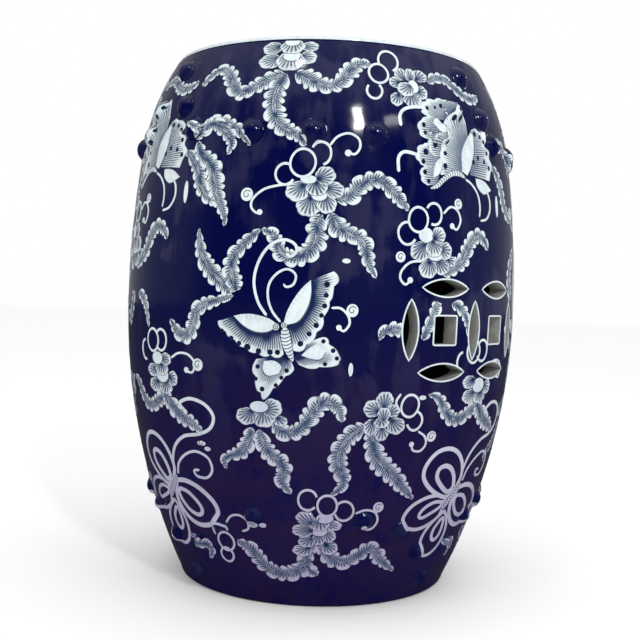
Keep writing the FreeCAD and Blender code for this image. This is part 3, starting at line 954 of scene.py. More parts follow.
def ring(paint, place, z, radius, first, last, half_width, layer, slot):
    """A slightly oval ring, or the part of it between two angles."""
    turns = np.radians(np.linspace(first, last, max(int((last - first) / 10), 8)))
    across = np.array([-1, -0.4, 0.4, 1])
    reach = radius + across * half_width
    wobble = RING_OVAL + 0.03 * np.sin(2 * turns + place)
    right = np.cos(turns)[:, None] * reach * wobble[:, None]
    up = np.sin(turns)[:, None] * reach
    start, level = np.full(right.shape, float(place)), np.full(right.shape, float(z))
    at, height = paint.surface.shifted(start, level, right, up)
    if last - first == 360:
        at[-1], height[-1] = at[0], height[0]
    paint.sheet(at, height, strokes_of(turns[:, None] * radius, across, z % 1, at.shape), layer, slot)


def ball(paint, place, z, half_x, half_y, layer, slot):
    around = 12 if half_x < 3 else 18
    petal(paint, place, z, half_x, half_y, 0.01, 0, layer, slot, around=around, depths=BALL_DEPTHS)


def curl(paint, place, z, size, layer, slot):
    """A fine line coiled inside a painted ball."""
    turns = np.linspace(0.4, 8.2, 22)
    reach = size * np.linspace(0.72, 0.12, 22)
    across, slope = paint.surface.metric(np.array([float(z)]))
    points = []
    for turn, out in zip(turns, reach):
        points.append((place + out * math.cos(turn) / across[0], z + out * math.sin(turn) * slope[0]))
    brush_line(paint, points, 0.32, layer, slot, 0.2)


def between(paint, first, second, layer, slot, lobes=0, notch=0.1, seed=0.0):
    """A sheet stretched from one curve to another, such as a wing from its root to its rim."""
    a, b = flowing(first), flowing(second)
    outer, run = paint.surface.evenly(b, WING_STEP)
    share = np.linspace(0, 1, len(outer))
    inner = np.stack([np.interp(share, np.linspace(0, 1, len(a)), a[:, k]) for k in (0, 1)], -1)
    depth = np.array(WING_DEPTHS)
    rim = 1 - notch * scallop(run / run[-1] * lobes) if lobes else np.ones(len(outer))
    reach = depth[None, :] * (1 - (1 - rim[:, None]) * depth[None, :] ** 2)
    place = inner[:, :1] * (1 - reach) + outer[:, :1] * reach
    z = inner[:, 1:2] * (1 - reach) + outer[:, 1:2] * reach
    paint.sheet(place, z, strokes_of((run / WING_LINE_GAP)[:, None], depth, seed, place.shape), layer, slot)


# Glazes and brushwork

class Nodes:
    """Short names for adding and linking shader nodes."""

    def __init__(self, tree):
        self.tree = tree

    def add(self, kind, **settings):
        node = self.tree.nodes.new(kind)
        for key, value in settings.items():
            setattr(node, key, value)
        return node

    def put(self, socket, value):
        if isinstance(value, bpy.types.NodeSocket):
            self.tree.links.new(value, socket)
        else:
            socket.default_value = value

    def math(self, operation, a, b=0.0):
        node = self.add("ShaderNodeMath", operation=operation)
        self.put(node.inputs[0], a)
        self.put(node.inputs[1], b)
        return node.outputs[0]

    def step(self, value, low, high, to_low=0.0, to_high=1.0):
        node = self.add("ShaderNodeMapRange", interpolation_type="SMOOTHSTEP", clamp=True)
        for socket, number in zip(node.inputs, (value, low, high, to_low, to_high)):
            self.put(socket, number)
        return node.outputs[0]

    def mix(self, factor, a, b):
        node = self.add("ShaderNodeMix", data_type="RGBA")
        self.put(node.inputs["Factor"], factor)
        self.put(node.inputs[6], a if isinstance(a, bpy.types.NodeSocket) else (*a, 1.0))
        self.put(node.inputs[7], b if isinstance(b, bpy.types.NodeSocket) else (*b, 1.0))
        return node.outputs[2]

    def group(self, tree, **values):
        node = self.add("ShaderNodeGroup", node_tree=tree)
        for key, value in values.items():
            self.put(node.inputs[key.replace("_", " ").capitalize()], value)
        return node.outputs


def node_group(name, inputs, outputs):
    """The named group, and short names for its nodes where it is still to be filled."""
    if name in bpy.data.node_groups:
        return bpy.data.node_groups[name], None
    tree = bpy.data.node_groups.new(name, "ShaderNodeTree")
    for label, default in inputs:
        socket = tree.interface.new_socket(name=label, in_out="INPUT", socket_type="NodeSocketFloat")
        socket.default_value = default
    for label, kind in outputs:
        tree.interface.new_socket(name=label, in_out="OUTPUT", socket_type=kind)
    return tree, Nodes(tree)


def kiln_mottle():
    """Soft brushy unevenness of fired glaze, as a mask."""
    tree, n = node_group("kiln mottle", (("Scale", 22.0), ("Streak", 0.35)), (("Mask", "NodeSocketFloat"),))
    if n:
        given, out = n.add("NodeGroupInput"), n.add("NodeGroupOutput")
        place = n.add("ShaderNodeTexCoord").outputs["Object"]
        broad = n.add("ShaderNodeTexNoise")
        n.put(broad.inputs["Vector"], place)
        n.put(broad.inputs["Scale"], given.outputs["Scale"])
        n.put(broad.inputs["Detail"], 4.0)
        n.put(broad.inputs["Distortion"], 1.2)
        squash = n.add("ShaderNodeMapping")
        n.put(squash.inputs["Vector"], place)
        squash.inputs["Scale"].default_value = (1.0, 1.0, 0.16)
        fine = n.add("ShaderNodeTexNoise")
        n.put(fine.inputs["Vector"], squash.outputs[0])
        n.put(fine.inputs["Scale"], n.math("MULTIPLY", given.outputs["Scale"], 6.0))
        n.put(fine.inputs["Detail"], 3.0)
        streaks = n.math("MULTIPLY", n.math("SUBTRACT", fine.outputs[0], 0.5), given.outputs["Streak"])
        n.put(out.inputs["Mask"], n.step(n.math("ADD", broad.outputs[0], streaks), 0.38, 0.68))
    return tree


def glaze_ripple():
    """Slow waves in the glaze, as a bumped normal."""
    tree, n = node_group("glaze ripple", (("Strength", 0.12), ("Scale", 45.0)),
                         (("Normal", "NodeSocketVector"),))
    if n:
        given, out = n.add("NodeGroupInput"), n.add("NodeGroupOutput")
        wave = n.add("ShaderNodeTexNoise")
        n.put(wave.inputs["Vector"], n.add("ShaderNodeTexCoord").outputs["Object"])
        n.put(wave.inputs["Scale"], given.outputs["Scale"])
        n.put(wave.inputs["Detail"], 1.5)
        bump = n.add("ShaderNodeBump")
        n.put(bump.inputs["Strength"], given.outputs["Strength"])
        n.put(bump.inputs["Distance"], 0.002)
        n.put(bump.inputs["Height"], wave.outputs[0])
        n.put(out.inputs["Normal"], bump.outputs[0])
    return tree


def foot_tint_and_shade():
    """How far down the wall a point is: 0 above the belly, 1 at the foot. It turns the ground violet toward
    the foot, and it darkens the white there as painted shade.
    """
    tree, n = node_group("foot tint and shade", (("Top", 0.24), ("Bottom", 0.06)), (("Mask", "NodeSocketFloat"),))
    if n:
        given, out = n.add("NodeGroupInput"), n.add("NodeGroupOutput")
        parts = n.add("ShaderNodeSeparateXYZ")
        n.put(parts.inputs[0], n.add("ShaderNodeTexCoord").outputs["Object"])
        low, high = given.outputs["Bottom"], given.outputs["Top"]
        n.put(out.inputs["Mask"], n.step(parts.outputs[2], low, high, 1.0, 0.0))
    return tree


def new_material(name):
    material = bpy.data.materials.new(name)
    material.use_nodes = True
    n = Nodes(material.node_tree)
    return material, n, material.node_tree.nodes["Principled BSDF"]


def glaze(n, surface, colour, roughness=0.09, ripple=0.12):
    n.put(surface.inputs["Base Color"], colour)
    surface.inputs["Roughness"].default_value = roughness
    surface.inputs["IOR"].default_value = 1.5
    n.put(surface.inputs["Normal"], n.group(glaze_ripple(), strength=ripple)["Normal"])


def cobalt_cells():
    """Small rounded cells where the glaze pooled, as a mask."""
    tree, n = node_group("cobalt cells", (("Scale", 130.0),), (("Mask", "NodeSocketFloat"),))
    if n:
        given, out = n.add("NodeGroupInput"), n.add("NodeGroupOutput")
        squash = n.add("ShaderNodeMapping")
        n.put(squash.inputs["Vector"], n.add("ShaderNodeTexCoord").outputs["Object"])
        squash.inputs["Scale"].default_value = (1.0, 1.0, 0.6)
        cells = n.add("ShaderNodeTexVoronoi", feature="SMOOTH_F1")
        n.put(cells.inputs["Vector"], squash.outputs[0])
        n.put(cells.inputs["Scale"], given.outputs["Scale"])
        n.put(cells.inputs["Smoothness"], 0.4)
        n.put(out.inputs["Mask"], n.step(cells.outputs["Distance"], 0.2, 0.62))
    return tree


def cobalt_material(name):
    """Deep blue ground: thin grey patches above, violet with bright cells toward the foot."""
    material, n, surface = new_material(name)
    c = colours()
    patches = n.step(n.group(kiln_mottle(), scale=12.0, streak=0.6)["Mask"], 0.15, 0.95)
    upper = n.mix(n.math("MULTIPLY", patches, 0.4), c.cobalt, c.cobalt_thin)
    cells = n.group(cobalt_cells(), scale=120.0)["Mask"]
    lower = n.mix(n.group(kiln_mottle(), scale=26.0, streak=0.5)["Mask"], c.cobalt_foot, c.cobalt_cell)
    lower = n.mix(n.math("MULTIPLY", cells, 0.7), lower, c.cobalt_foot)
    shade = n.math("MULTIPLY", n.group(foot_tint_and_shade(), top=0.27, bottom=0.1)["Mask"], 0.9)
    glaze(n, surface, n.mix(shade, upper, lower))
    return material


def stud_material(name):
    material, n, surface = new_material(name)
    c = colours()
    mottle = n.group(kiln_mottle(), scale=30.0, streak=0.4)["Mask"]
    glaze(n, surface, n.mix(n.math("MULTIPLY", mottle, 0.3), c.cobalt, c.cobalt_thin), 0.08, 0.06)
    return material


def reserved_white(n):
    """Colour of the bare white ground: cool above, and lavender at the foot, where it is also darkened as
    painted shade.
    """
    c = colours()
    white = n.mix(n.group(foot_tint_and_shade())["Mask"], c.reserve, c.reserve_foot_shaded)
    uneven = n.group(kiln_mottle(), scale=60.0, streak=0.6)["Mask"]
    return n.mix(n.math("MULTIPLY", uneven, 0.16), white, c.wash)


def stroke_parts(n):
    """How far the brush has run, how far across the shape a point is, and the shape's seed or notch."""
    parts = n.add("ShaderNodeSeparateXYZ")
    n.put(parts.inputs[0], n.add("ShaderNodeAttribute", attribute_name="stroke").outputs["Vector"])
    return parts.outputs


def brush_noise(n, scale):
    """Unevenness of the brush, from -0.5 to 0.5."""
    noise = n.add("ShaderNodeTexNoise")
    n.put(noise.inputs["Vector"], n.add("ShaderNodeTexCoord").outputs["Object"])
    n.put(noise.inputs["Scale"], scale)
    n.put(noise.inputs["Detail"], 2.0)
    return n.math("SUBTRACT", noise.outputs[0], 0.5)


def half_gap(n, lines):
    """How far a point is from the middle between two brush lines."""
    return n.math("ABSOLUTE", n.math("SUBTRACT", n.math("FRACT", lines), 0.5))


def white_material(name):
    material, n, surface = new_material(name)
    glaze(n, surface, reserved_white(n))
    return material


def dot_material(name):
    material, n, surface = new_material(name)
    c = colours()
    glaze(n, surface, n.mix(n.group(kiln_mottle(), scale=80.0, streak=0.3)["Mask"], c.dot, c.line))
    return material


def midrib_material(name):
    """Dark middle of a leaf: slanted brush lines over a blue-grey wash, with a crooked midrib."""
    material, n, surface = new_material(name)
    c = colours()
    run, across = stroke_parts(n)[:2]
    slanted = n.math("ADD", n.math("DIVIDE", run, 2.3), n.math("MULTIPLY", n.math("ABSOLUTE", across), -1.4))
    slanted = n.math("ADD", slanted, n.math("MULTIPLY", brush_noise(n, 240.0), 0.9))
    hatch = n.step(half_gap(n, slanted), 0.1, 0.38)
    bend = n.math("MULTIPLY", n.math("SINE", n.math("MULTIPLY", run, 0.95)), 0.3)
    rib = n.step(n.math("ABSOLUTE", n.math("ADD", across, bend)), 0.1, 0.34, 1.0, 0.0)
    wash = n.mix(n.step(brush_noise(n, 130.0), -0.14, 0.14), c.wash, reserved_white(n))
    colour = n.mix(n.math("MULTIPLY", hatch, 0.8), wash, c.line)
    glaze(n, surface, n.mix(n.math("MULTIPLY", rib, 0.92), colour, c.line))
    return material


# Brushwork of each painted finish: depth at which the dark root and the blue wash end and the dark rim
# begins, brush lines for each step of the run, and strength of the blue
BRUSHWORK = {
    "leaf lobes": (0.03, 0.66, 0.95, 1.0, 1.0),
    "petal brushwork": (0.1, 0.88, 0.94, 0.42, 1.0),
    "wing brushwork": (0.12, 0.76, 0.955, 0.65, 1.0),
    "pale wing brushwork": (-0.3, 0.82, 0.955, 0.62, 0.95),
    "outlined white": (-0.5, 0.3, 0.9, 0.4, 0.14),
}


def brushed(n, name):
    """Dark root, blue lines fanning out over a wash and fading into white, with a fine dark rim."""
    root_end, wash_end, rim_start, count, strength = BRUSHWORK[name]
    c = colours()
    run, depth = stroke_parts(n)[:2]
    lines = n.math("ADD", n.math("MULTIPLY", run, count), n.math("MULTIPLY", brush_noise(n, 230.0), 0.5))
    reach = n.math("ADD", depth, n.math("MULTIPLY", brush_noise(n, 100.0), 0.5))
    fade = n.step(reach, wash_end - 0.16, wash_end + 0.1, 1.0, 0.0)
    hatch = n.math("MULTIPLY", n.step(half_gap(n, lines), 0.08, 0.36), fade)
    root = n.step(reach, root_end, root_end + 0.24, 1.0, 0.0)
    wash = n.step(reach, root_end, wash_end, 1.0, 0.0)
    rim = n.step(depth, rim_start, rim_start + 0.05)
    colour = n.mix(n.math("MULTIPLY", wash, strength), reserved_white(n), c.wash)
    colour = n.mix(n.math("MULTIPLY", hatch, 0.85 * strength), colour, c.line)
    colour = n.mix(n.math("MULTIPLY", root, 0.92 * strength), colour, c.line)
    return n.mix(n.math("MULTIPLY", rim, 0.9), colour, c.line)


def brushwork_material(name):
    """Petal or wing: blue lines that fan out from its root and fade into white."""
    material, n, surface = new_material(name)
    glaze(n, surface, brushed(n, name))
    return material


def lobe_material(name):
    """Ruffled half of a leaf: brushed from the midrib outward, with a dark crease at each notch."""
    material, n, surface = new_material(name)
    crease = n.math("MULTIPLY", n.step(stroke_parts(n)[2], 0.3, 0.75), 0.8)
    glaze(n, surface, n.mix(crease, brushed(n, name), colours().line))
    return material


def body_material(name):
    """Pale body of a butterfly with blue bands across."""
    material, n, surface = new_material(name)
    c = colours()
    run, across = stroke_parts(n)[:2]
    edge = n.math("ABSOLUTE", across)
    bent = n.math("ADD", n.math("DIVIDE", run, 2.7), n.math("MULTIPLY", n.math("POWER", edge, 2.0), 0.5))
    band = n.step(half_gap(n, bent), 0.24, 0.4)
    colour = n.mix(n.math("MULTIPLY", band, 0.8), reserved_white(n), c.line)
    glaze(n, surface, n.mix(n.step(edge, 0.8, 0.95), colour, c.line))
    return material


def speckled(name, colour, tone, share, scale, streak, roughness, waves):
    """A dull surface speckled with a darker or paler tone of its colour."""
    material, n, surface = new_material(name)
    speck = n.group(kiln_mottle(), scale=scale, streak=streak)["Mask"]
    toned = tuple(value * tone for value in colour)
    n.put(surface.inputs["Base Color"], n.mix(n.math("MULTIPLY", speck, share), colour, toned))
    surface.inputs["Roughness"].default_value = roughness
    n.put(surface.inputs["Normal"], n.group(glaze_ripple(), strength=0.3, scale=waves)["Normal"])
    return material


def clay_material(name):
    return speckled(name, colours().clay, tone=0.62, share=0.6, scale=140.0, streak=0.2,
                    roughness=0.4, waves=180.0)


# The inside of the wall, coloured near black as a painted shade for the darkness seen through the piercings
def shaded_inside_material(name):
    return speckled(name, colours().inside, tone=1.7, share=1.0, scale=50.0, streak=0.5,
                    roughness=0.7, waves=120.0)


MAKERS = {
    "cobalt glaze": cobalt_material, "stud glaze": stud_material, "reserved white": white_material,
    "cobalt dots": dot_material, "leaf middle": midrib_material, "leaf lobes": lobe_material,
    "petal brushwork": brushwork_material, "wing brushwork": brushwork_material,
    "pale wing brushwork": brushwork_material, "outlined white": brushwork_material,
    "butterfly body bands": body_material, "grey clay": clay_material, "painted shade inside": shaded_inside_material,
}


def finish_of(name):
    return bpy.data.materials.get(name) or MAKERS[name](name)


def finishes_of(*names):
    return [finish_of(name) for name in names]


# Pieces, in the order in which they are made

def wall_profile(thickness):
    """Points round the section of the wall: its foot, up the outside and down the inside."""
    up = np.concatenate([np.linspace(4, BELLY_HEIGHT, 34), np.linspace(BELLY_HEIGHT, WALL_TOP, 32)[1:]])
    down = np.linspace(WALL_TOP, 0, 30)
    sides = []
    for heights, inset in ((up, 0.0), (down, thickness)):
        sides.append([(float(r), float(z)) for r, z in zip(wall_form(heights)[0] - inset, heights)])
    outer, inner = sides
    side = outer[0][0]
    foot = [(side - 4, 0.0), (side - 2.2, 0.45), (side - 0.9, 1.5), (side - 0.25, 2.6)]
    return foot + outer + inner


class STOOL_OT_wall(bpy.types.Operator):
    """Turn the hollow wall and pierce a double coin through it on two sides"""
    bl_idname = "stool.wall"
    bl_label = "Barrel wall"

    def execute(self, context):
        thickness = sizes().wall_thickness / MM
        piece = turned("glazed_wall", wall_profile(thickness), True, sizes().turn_steps)
        mesh = piece.data
        for material in finishes_of("cobalt glaze", "painted shade inside", "grey clay"):
            mesh.materials.append(material)
        # The foot ring takes the grey clay, and the inner faces take the near-black inside, a painted shade
        for face in mesh.polygons:
            middle, height = face.center.xy.length / MM, face.center.z / MM
            radius = float(wall_form(height)[0])
            if height < 0.3:
                face.material_index = 2
            elif middle < radius - thickness / 2 and height < WALL_TOP - 0.1:
                face.material_index = 1
        cutters = []
        start, end = BELLY_RADIUS - 3 * thickness, BELLY_RADIUS + thickness
        for outline, turn, height in wall_piercings():
            for half in (0.0, HALF_TURN):
                cutters.append(cutter(outline, turn + half, height, start, end))
        cut_through(piece, cutters, finish_of("grey clay"))
        smooth(piece, 35)
        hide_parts("barrel_wall")
        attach(piece, "root")
        return {"FINISHED"}


# Turns a bar along X upright, its outline's first axis along X
UPRIGHT = Matrix(((0, 1, 0, 0), (0, 0, 1, 0), (1, 0, 0, 0), (0, 0, 0, 1)))


class STOOL_OT_seat(bpy.types.Operator):
    """Turn the seat slab with its spigot and pierce one coin through it"""
    bl_idname = "stool.seat"
    bl_label = "Seat slab"

    def execute(self, context):
        thickness = sizes().wall_thickness / MM
        mouth = float(wall_form(WALL_TOP)[0])
        slab = mouth - SLAB_SETBACK
        spigot = mouth - thickness - SPIGOT_GAP
        depth = sizes().slab_depth / MM
        top = HEIGHT - PAINT_ALLOWANCE
        edge = [(slab - 6, top), (slab - 2.2, top), (slab - 1.1, top - 0.35), (slab - 0.35, top - 1.1),
                (slab, top - 2.0), (slab, WALL_TOP + 1.6), (slab, WALL_TOP)]
        underside = [(spigot, WALL_TOP), (spigot, WALL_TOP - depth), (0, WALL_TOP - depth)]
        profile = [(0, top), (45, top), (90, top)] + edge + underside
        piece = turned("glazed_seat", profile, False, sizes().turn_steps)
        mesh = piece.data
        for material in finishes_of("cobalt glaze", "reserved white", "grey clay"):
            mesh.materials.append(material)
        for face in mesh.polygons:
            # The slab's rounded rim takes the reserved white: partly glaze breaking to white at the edge,
            # partly a painted reflection of the bright room there; the underside takes the grey clay
            middle, height = face.center.xy.length / MM, face.center.z / MM
            if middle > slab - 5 and height > WALL_TOP + 1.7:
                face.material_index = 1
            elif height < WALL_TOP + 0.1:
                face.material_index = 2
        cutters = []
        for outline in seat_piercings():
            tool = cutter(outline, 0.0, 0.0, WALL_TOP - 30, HEIGHT + 10)
            tool.data.transform(UPRIGHT)
            cutters.append(tool)
        cut_through(piece, cutters, finish_of("grey clay"))
        smooth(piece, 35)
        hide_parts("seat_slab")
        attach(piece, "root")
        return {"FINISHED"}


STUD_REACHES = (0.0, 0.2, 0.38, 0.54, 0.68, 0.8, 0.89, 0.95, 1.0, 1.05, 1.12)
STUD_FOOT = -1.2


def stud_piece(name, studs, node):
    """Domed buttons, glazed over so that each runs softly into the wall."""
    diameter, rise = studs[0][2:]
    reach = np.array(STUD_REACHES) * diameter / 2
    profile = list(zip(reach, dome_rise(reach, diameter, rise) + 0.03))
    profile += [(reach[-1] + 0.3, STUD_FOOT), (0.0, STUD_FOOT)]
    one = turned("stud", profile, False, 28)
    one.data.materials.append(finish_of("stud glaze"))
    pieces = []
    for place, z in [stud[:2] for stud in studs]:
        outward, slope = wall_form(z)[1:]
        turn = math.radians(place + FRONT_TO_X_AXIS)
        away = Vector((outward * math.cos(turn), outward * math.sin(turn), slope))
        basis = away.to_track_quat("Z", "Y").to_matrix().to_4x4()
        copy = bpy.data.objects.new("stud", one.data.copy())
        copy.data.transform(Matrix.Translation(on_wall(place, z, 0.0)) @ basis)
        bpy.context.collection.objects.link(copy)
        pieces.append(copy)
    bpy.data.objects.remove(one, do_unlink=True)
    piece = joined(name, pieces)
    smooth(piece, 50)
    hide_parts(node)
    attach(piece, "root")


class STOOL_OT_studs(bpy.types.Operator):
    """Set the domed studs in garlands on the shoulder and above the foot"""
    bl_idname = "stool.studs"
    bl_label = "Studs"

    def execute(self, context):
        upper, lower = all_studs()
        stud_piece("glazed_upper_studs", upper, "upper_studs")
        stud_piece("glazed_lower_studs", lower, "lower_studs")
        return {"FINISHED"}


# The pattern is laid twice round the wall; the sides between repeat only the middle of the front
PANEL_TURNS = [0.0, HALF_TURN]
SIDE_PANEL_TURNS = [90.0, 90.0 + HALF_TURN]
SIDE_PANEL = (-29.0, 24.0)
CLUSTER_TURNS = [0.0, SIDE_CLUSTER_STEP, HALF_TURN, HALF_TURN + SIDE_CLUSTER_STEP]


class STOOL_OT_leaf_scrolls(bpy.types.Operator):
    """Paint the ruffled leaf scrolls"""
    bl_idname = "stool.leaf_scrolls"
    bl_label = "Leaf scrolls"

    def execute(self, context):
        finishes = finishes_of("leaf middle", "leaf lobes")
        for name, leaves, turns in (("panel_leaf_scrolls", PANEL_LEAVES, PANEL_TURNS),
                                    ("cluster_leaf_scrolls", CLUSTER_LEAVES, CLUSTER_TURNS)):
            paint = Paint(Wall(), turns)
            for number, points in enumerate(leaves):
                leaf(paint, points, 0.5 * (number % 3), (number * 0.37) % 1)
            paint.finish(name, finishes)
        return {"FINISHED"}


PETAL_OVERLAP = (1.3, 1.16)
ROOT_SHARE = 0.95


class STOOL_OT_flowers(bpy.types.Operator):
    """Paint the layered flowers"""
    bl_idname = "stool.flowers"
    bl_label = "Flowers"

    def execute(self, context):
        finishes = finishes_of("petal brushwork", "outlined white")
        for name, flowers, turns in (("panel_flowers", PANEL_FLOWERS, PANEL_TURNS),
                                     ("cluster_flowers", CLUSTER_FLOWERS, CLUSTER_TURNS)):
            paint = Paint(Wall(), turns)
            for petals in flowers:
                for number, (place, z, half_x, half_y, root_x, root_y, cup) in enumerate(petals):
                    wide, tall = PETAL_OVERLAP[0] * half_x, PETAL_OVERLAP[1] * half_y
                    root = math.atan2(root_y / tall, root_x / wide)
                    from_x, from_y = ROOT_SHARE * wide * math.cos(root), ROOT_SHARE * tall * math.sin(root)
                    petal(paint, place, z, wide, tall, from_x, from_y, 3 + 0.6 * number, cup,
                          seed=0.17 * number, around=30, notches=0 if cup else 6)
            paint.finish(name, finishes)
        return {"FINISHED"}


def eye(paint, place, z, radius, layer):
    """Rings of white and blue, one in another."""
    for share, slot in ((1.0, 1), (0.72, 2), (0.5, 1), (0.22, 2)):
        ball(paint, place, z, radius * share, radius * share, layer, slot)
        layer += 0.6


def spread_butterfly(paint):
    for number, (root, rim, lobes) in enumerate(BUTTERFLY_WINGS):
        between(paint, root, rim, 2 + (3 - number) * 0.4, WING, lobes=lobes, notch=0.12, seed=0.2 * number)
    for first, second in BUTTERFLY_EYESPOTS:
        between(paint, first, second, 4.6, OUTLINED)
    for place, z, radius in BUTTERFLY_DOTS:
        ball(paint, place, z, radius * DOT_SIZE, radius * DOT_SIZE, 5.2, DOT)
    brush_line(paint, BUTTERFLY_BODY, 3, 5.4, BODY, 0.1)
    for place, z, radius, layer in BUTTERFLY_EYES:
        eye(paint, place, z, radius, layer)
    for points, half in zip(BUTTERFLY_ANTENNAE, (1.1, 0.9)):
        brush_line(paint, points, half, 5.6, PLAIN, 0.3)


def spotted_butterfly(paint):
    for number, (root, rim, lobes) in enumerate(SPOTTED_WINGS):
        between(paint, root, rim, 4.0 - 0.5 * number, PALE_WING, lobes=lobes, notch=0.1, seed=0.15 * number)
    for place, z, half_x, half_y, tilt in SPOTTED_EYESPOTS:
        petal(paint, place, z, half_x, half_y, 0.01, 0, 4.8, OUTLINED, tilt)
    for first, second in SPOTTED_LENSES:
        between(paint, first, second, 4.8, OUTLINED)
    for place, z, radius in SPOTTED_DOTS:
        ball(paint, place, z, radius, radius * 1.1, 5.4, DOT)
    brush_line(paint, SPOTTED_BODY, 2.4, 6.0, BODY, 0.1)
    for points in SPOTTED_FEELERS:
        brush_line(paint, points, 1.3, 4.2, PLAIN, 0.4)
    for points in SPOTTED_TAILS:
        brush_line(paint, points, 0.9, 4.2, PLAIN, 0.4)


def outline_butterfly(paint):
    for points, half in OUTLINE_LOOPS:
        brush_line(paint, points + points[:1], 0.8 * half, 4.0, PLAIN, 0.5, taper=False)
    brush_line(paint, OUTLINE_BODY, 3, 5.0, BODY, 0.7)
    for points, half in zip(OUTLINE_ANTENNAE, (1.4, 1.1)):
        brush_line(paint, points, half, 4.4, PLAIN, 0.8)


# Finishes of the butterflies, by the number of their slot
BUTTERFLY_FINISHES = ("wing brushwork", "outlined white", "cobalt dots", "butterfly body bands",
                      "reserved white", "pale wing brushwork")
WING, OUTLINED, DOT, BODY, PLAIN, PALE_WING = range(6)
DOT_SIZE = 1.4


class STOOL_OT_butterflies(bpy.types.Operator):
    """Paint the butterflies: one spread, one from the side and one in outline"""
    bl_idname = "stool.butterflies"
    bl_label = "Butterflies"

    def execute(self, context):
        finishes = finishes_of(*BUTTERFLY_FINISHES)
        paint = Paint(Wall(), PANEL_TURNS)
        spread_butterfly(paint)
        paint.finish("spread_butterflies", finishes)
        paint = Paint(Wall(), CLUSTER_TURNS)
        spotted_butterfly(paint)
        outline_butterfly(paint)
        paint.finish("cluster_butterflies", finishes)
        return {"FINISHED"}


# Layers of the paint, above the leaves, the flowers and the butterflies
BALL_LAYER = 8
HOOK_LAYER = 8.4
CURL_LAYER = 8.8
ARC_LAYER = 9.6
RING_GROUND_LAYER = 10.4
RING_LAYER = 11
EDGE_LAYER = 13


class STOOL_OT_rings_and_hooks(bpy.types.Operator):
    """Paint the rings, curled hooks and balls"""
    bl_idname = "stool.rings_and_hooks"
    bl_label = "Rings and hooks"

    def execute(self, context):
        half = sizes().line_width / MM / 2
        for name, rings, hooks, balls, turns in (
                ("panel_rings_and_hooks", PANEL_RINGS, PANEL_HOOKS, PANEL_BALLS, PANEL_TURNS),
                ("cluster_rings_and_hooks", CLUSTER_RINGS, CLUSTER_HOOKS, CLUSTER_BALLS, CLUSTER_TURNS)):
            paint = Paint(Wall(), turns)
            for place, z, radius, first, last in rings:
                whole = last - first == 360
                if whole:
                    ball(paint, place, z, RING_OVAL * radius, radius, RING_GROUND_LAYER, 1)
                ring(paint, place, z, radius, first, last, half, RING_LAYER if whole else ARC_LAYER, 0)
            for number, points in enumerate(hooks):
                brush_line(paint, points, half * 0.9, HOOK_LAYER, 0, 0.1 * number)
            for place, z, half_x, half_y in balls:
                ball(paint, place, z, half_x, half_y, BALL_LAYER, 0)
                if half_x > 3.5:
                    curl(paint, place, z, half_x, CURL_LAYER, 1)
            paint.finish(name, finishes_of("reserved white", "cobalt glaze"))
        return {"FINISHED"}


def edge_line(paint, outline, to_surface, width, layer, slot):
    """A closed white line just outside one piercing."""
    loop = np.concatenate([outline, outline[:1]])
    ahead = np.roll(outline, -1, 0) - np.roll(outline, 1, 0)
    ahead = np.concatenate([ahead, ahead[:1]])
    away = np.stack([ahead[:, 1], -ahead[:, 0]], -1)
    away /= np.linalg.norm(away, axis=1)[:, None] + 1e-9
    if ((loop - outline.mean(0)) * away).sum() < 0:
        away = -away
    depth = np.array([-0.04, 0.5, 1.0]) * width
    place, z = to_surface(loop[:, None, :] + away[:, None, :] * depth[None, :, None])
    paint.sheet(place, z, strokes_of(np.arange(len(loop))[:, None], depth, 0.0, place.shape), layer, slot)


class STOOL_OT_coin_edges(bpy.types.Operator):
    """Paint a white line round each piercing"""
    bl_idname = "stool.coin_edges"
    bl_label = "Coin edges"

    def execute(self, context):
        paint = Paint(Wall(), [0.0])
        for outline, turn, height in wall_piercings():
            for half in (0.0, HALF_TURN):
                def onto_wall(points):
                    z = points[..., 1] + height
                    turned_by = np.degrees(np.arcsin(points[..., 0] / wall_form(z)[0])) + turn + half
                    return turned_by - FRONT_TO_X_AXIS, z
                edge_line(paint, outline, onto_wall, sizes().edge_width / MM, EDGE_LAYER, 0)
        paint.finish("coin_edge_lines", finishes_of("reserved white"))
        return {"FINISHED"}


def on_seat(points):
    return points[..., 0], points[..., 1]


def turned_about(points, turn):
    """Points of the seat pattern, turned about its middle."""
    c, s = math.cos(math.radians(turn)), math.sin(math.radians(turn))
    return [(c * p[0] - s * p[1], s * p[0] + c * p[1]) + tuple(p[2:]) for p in points]


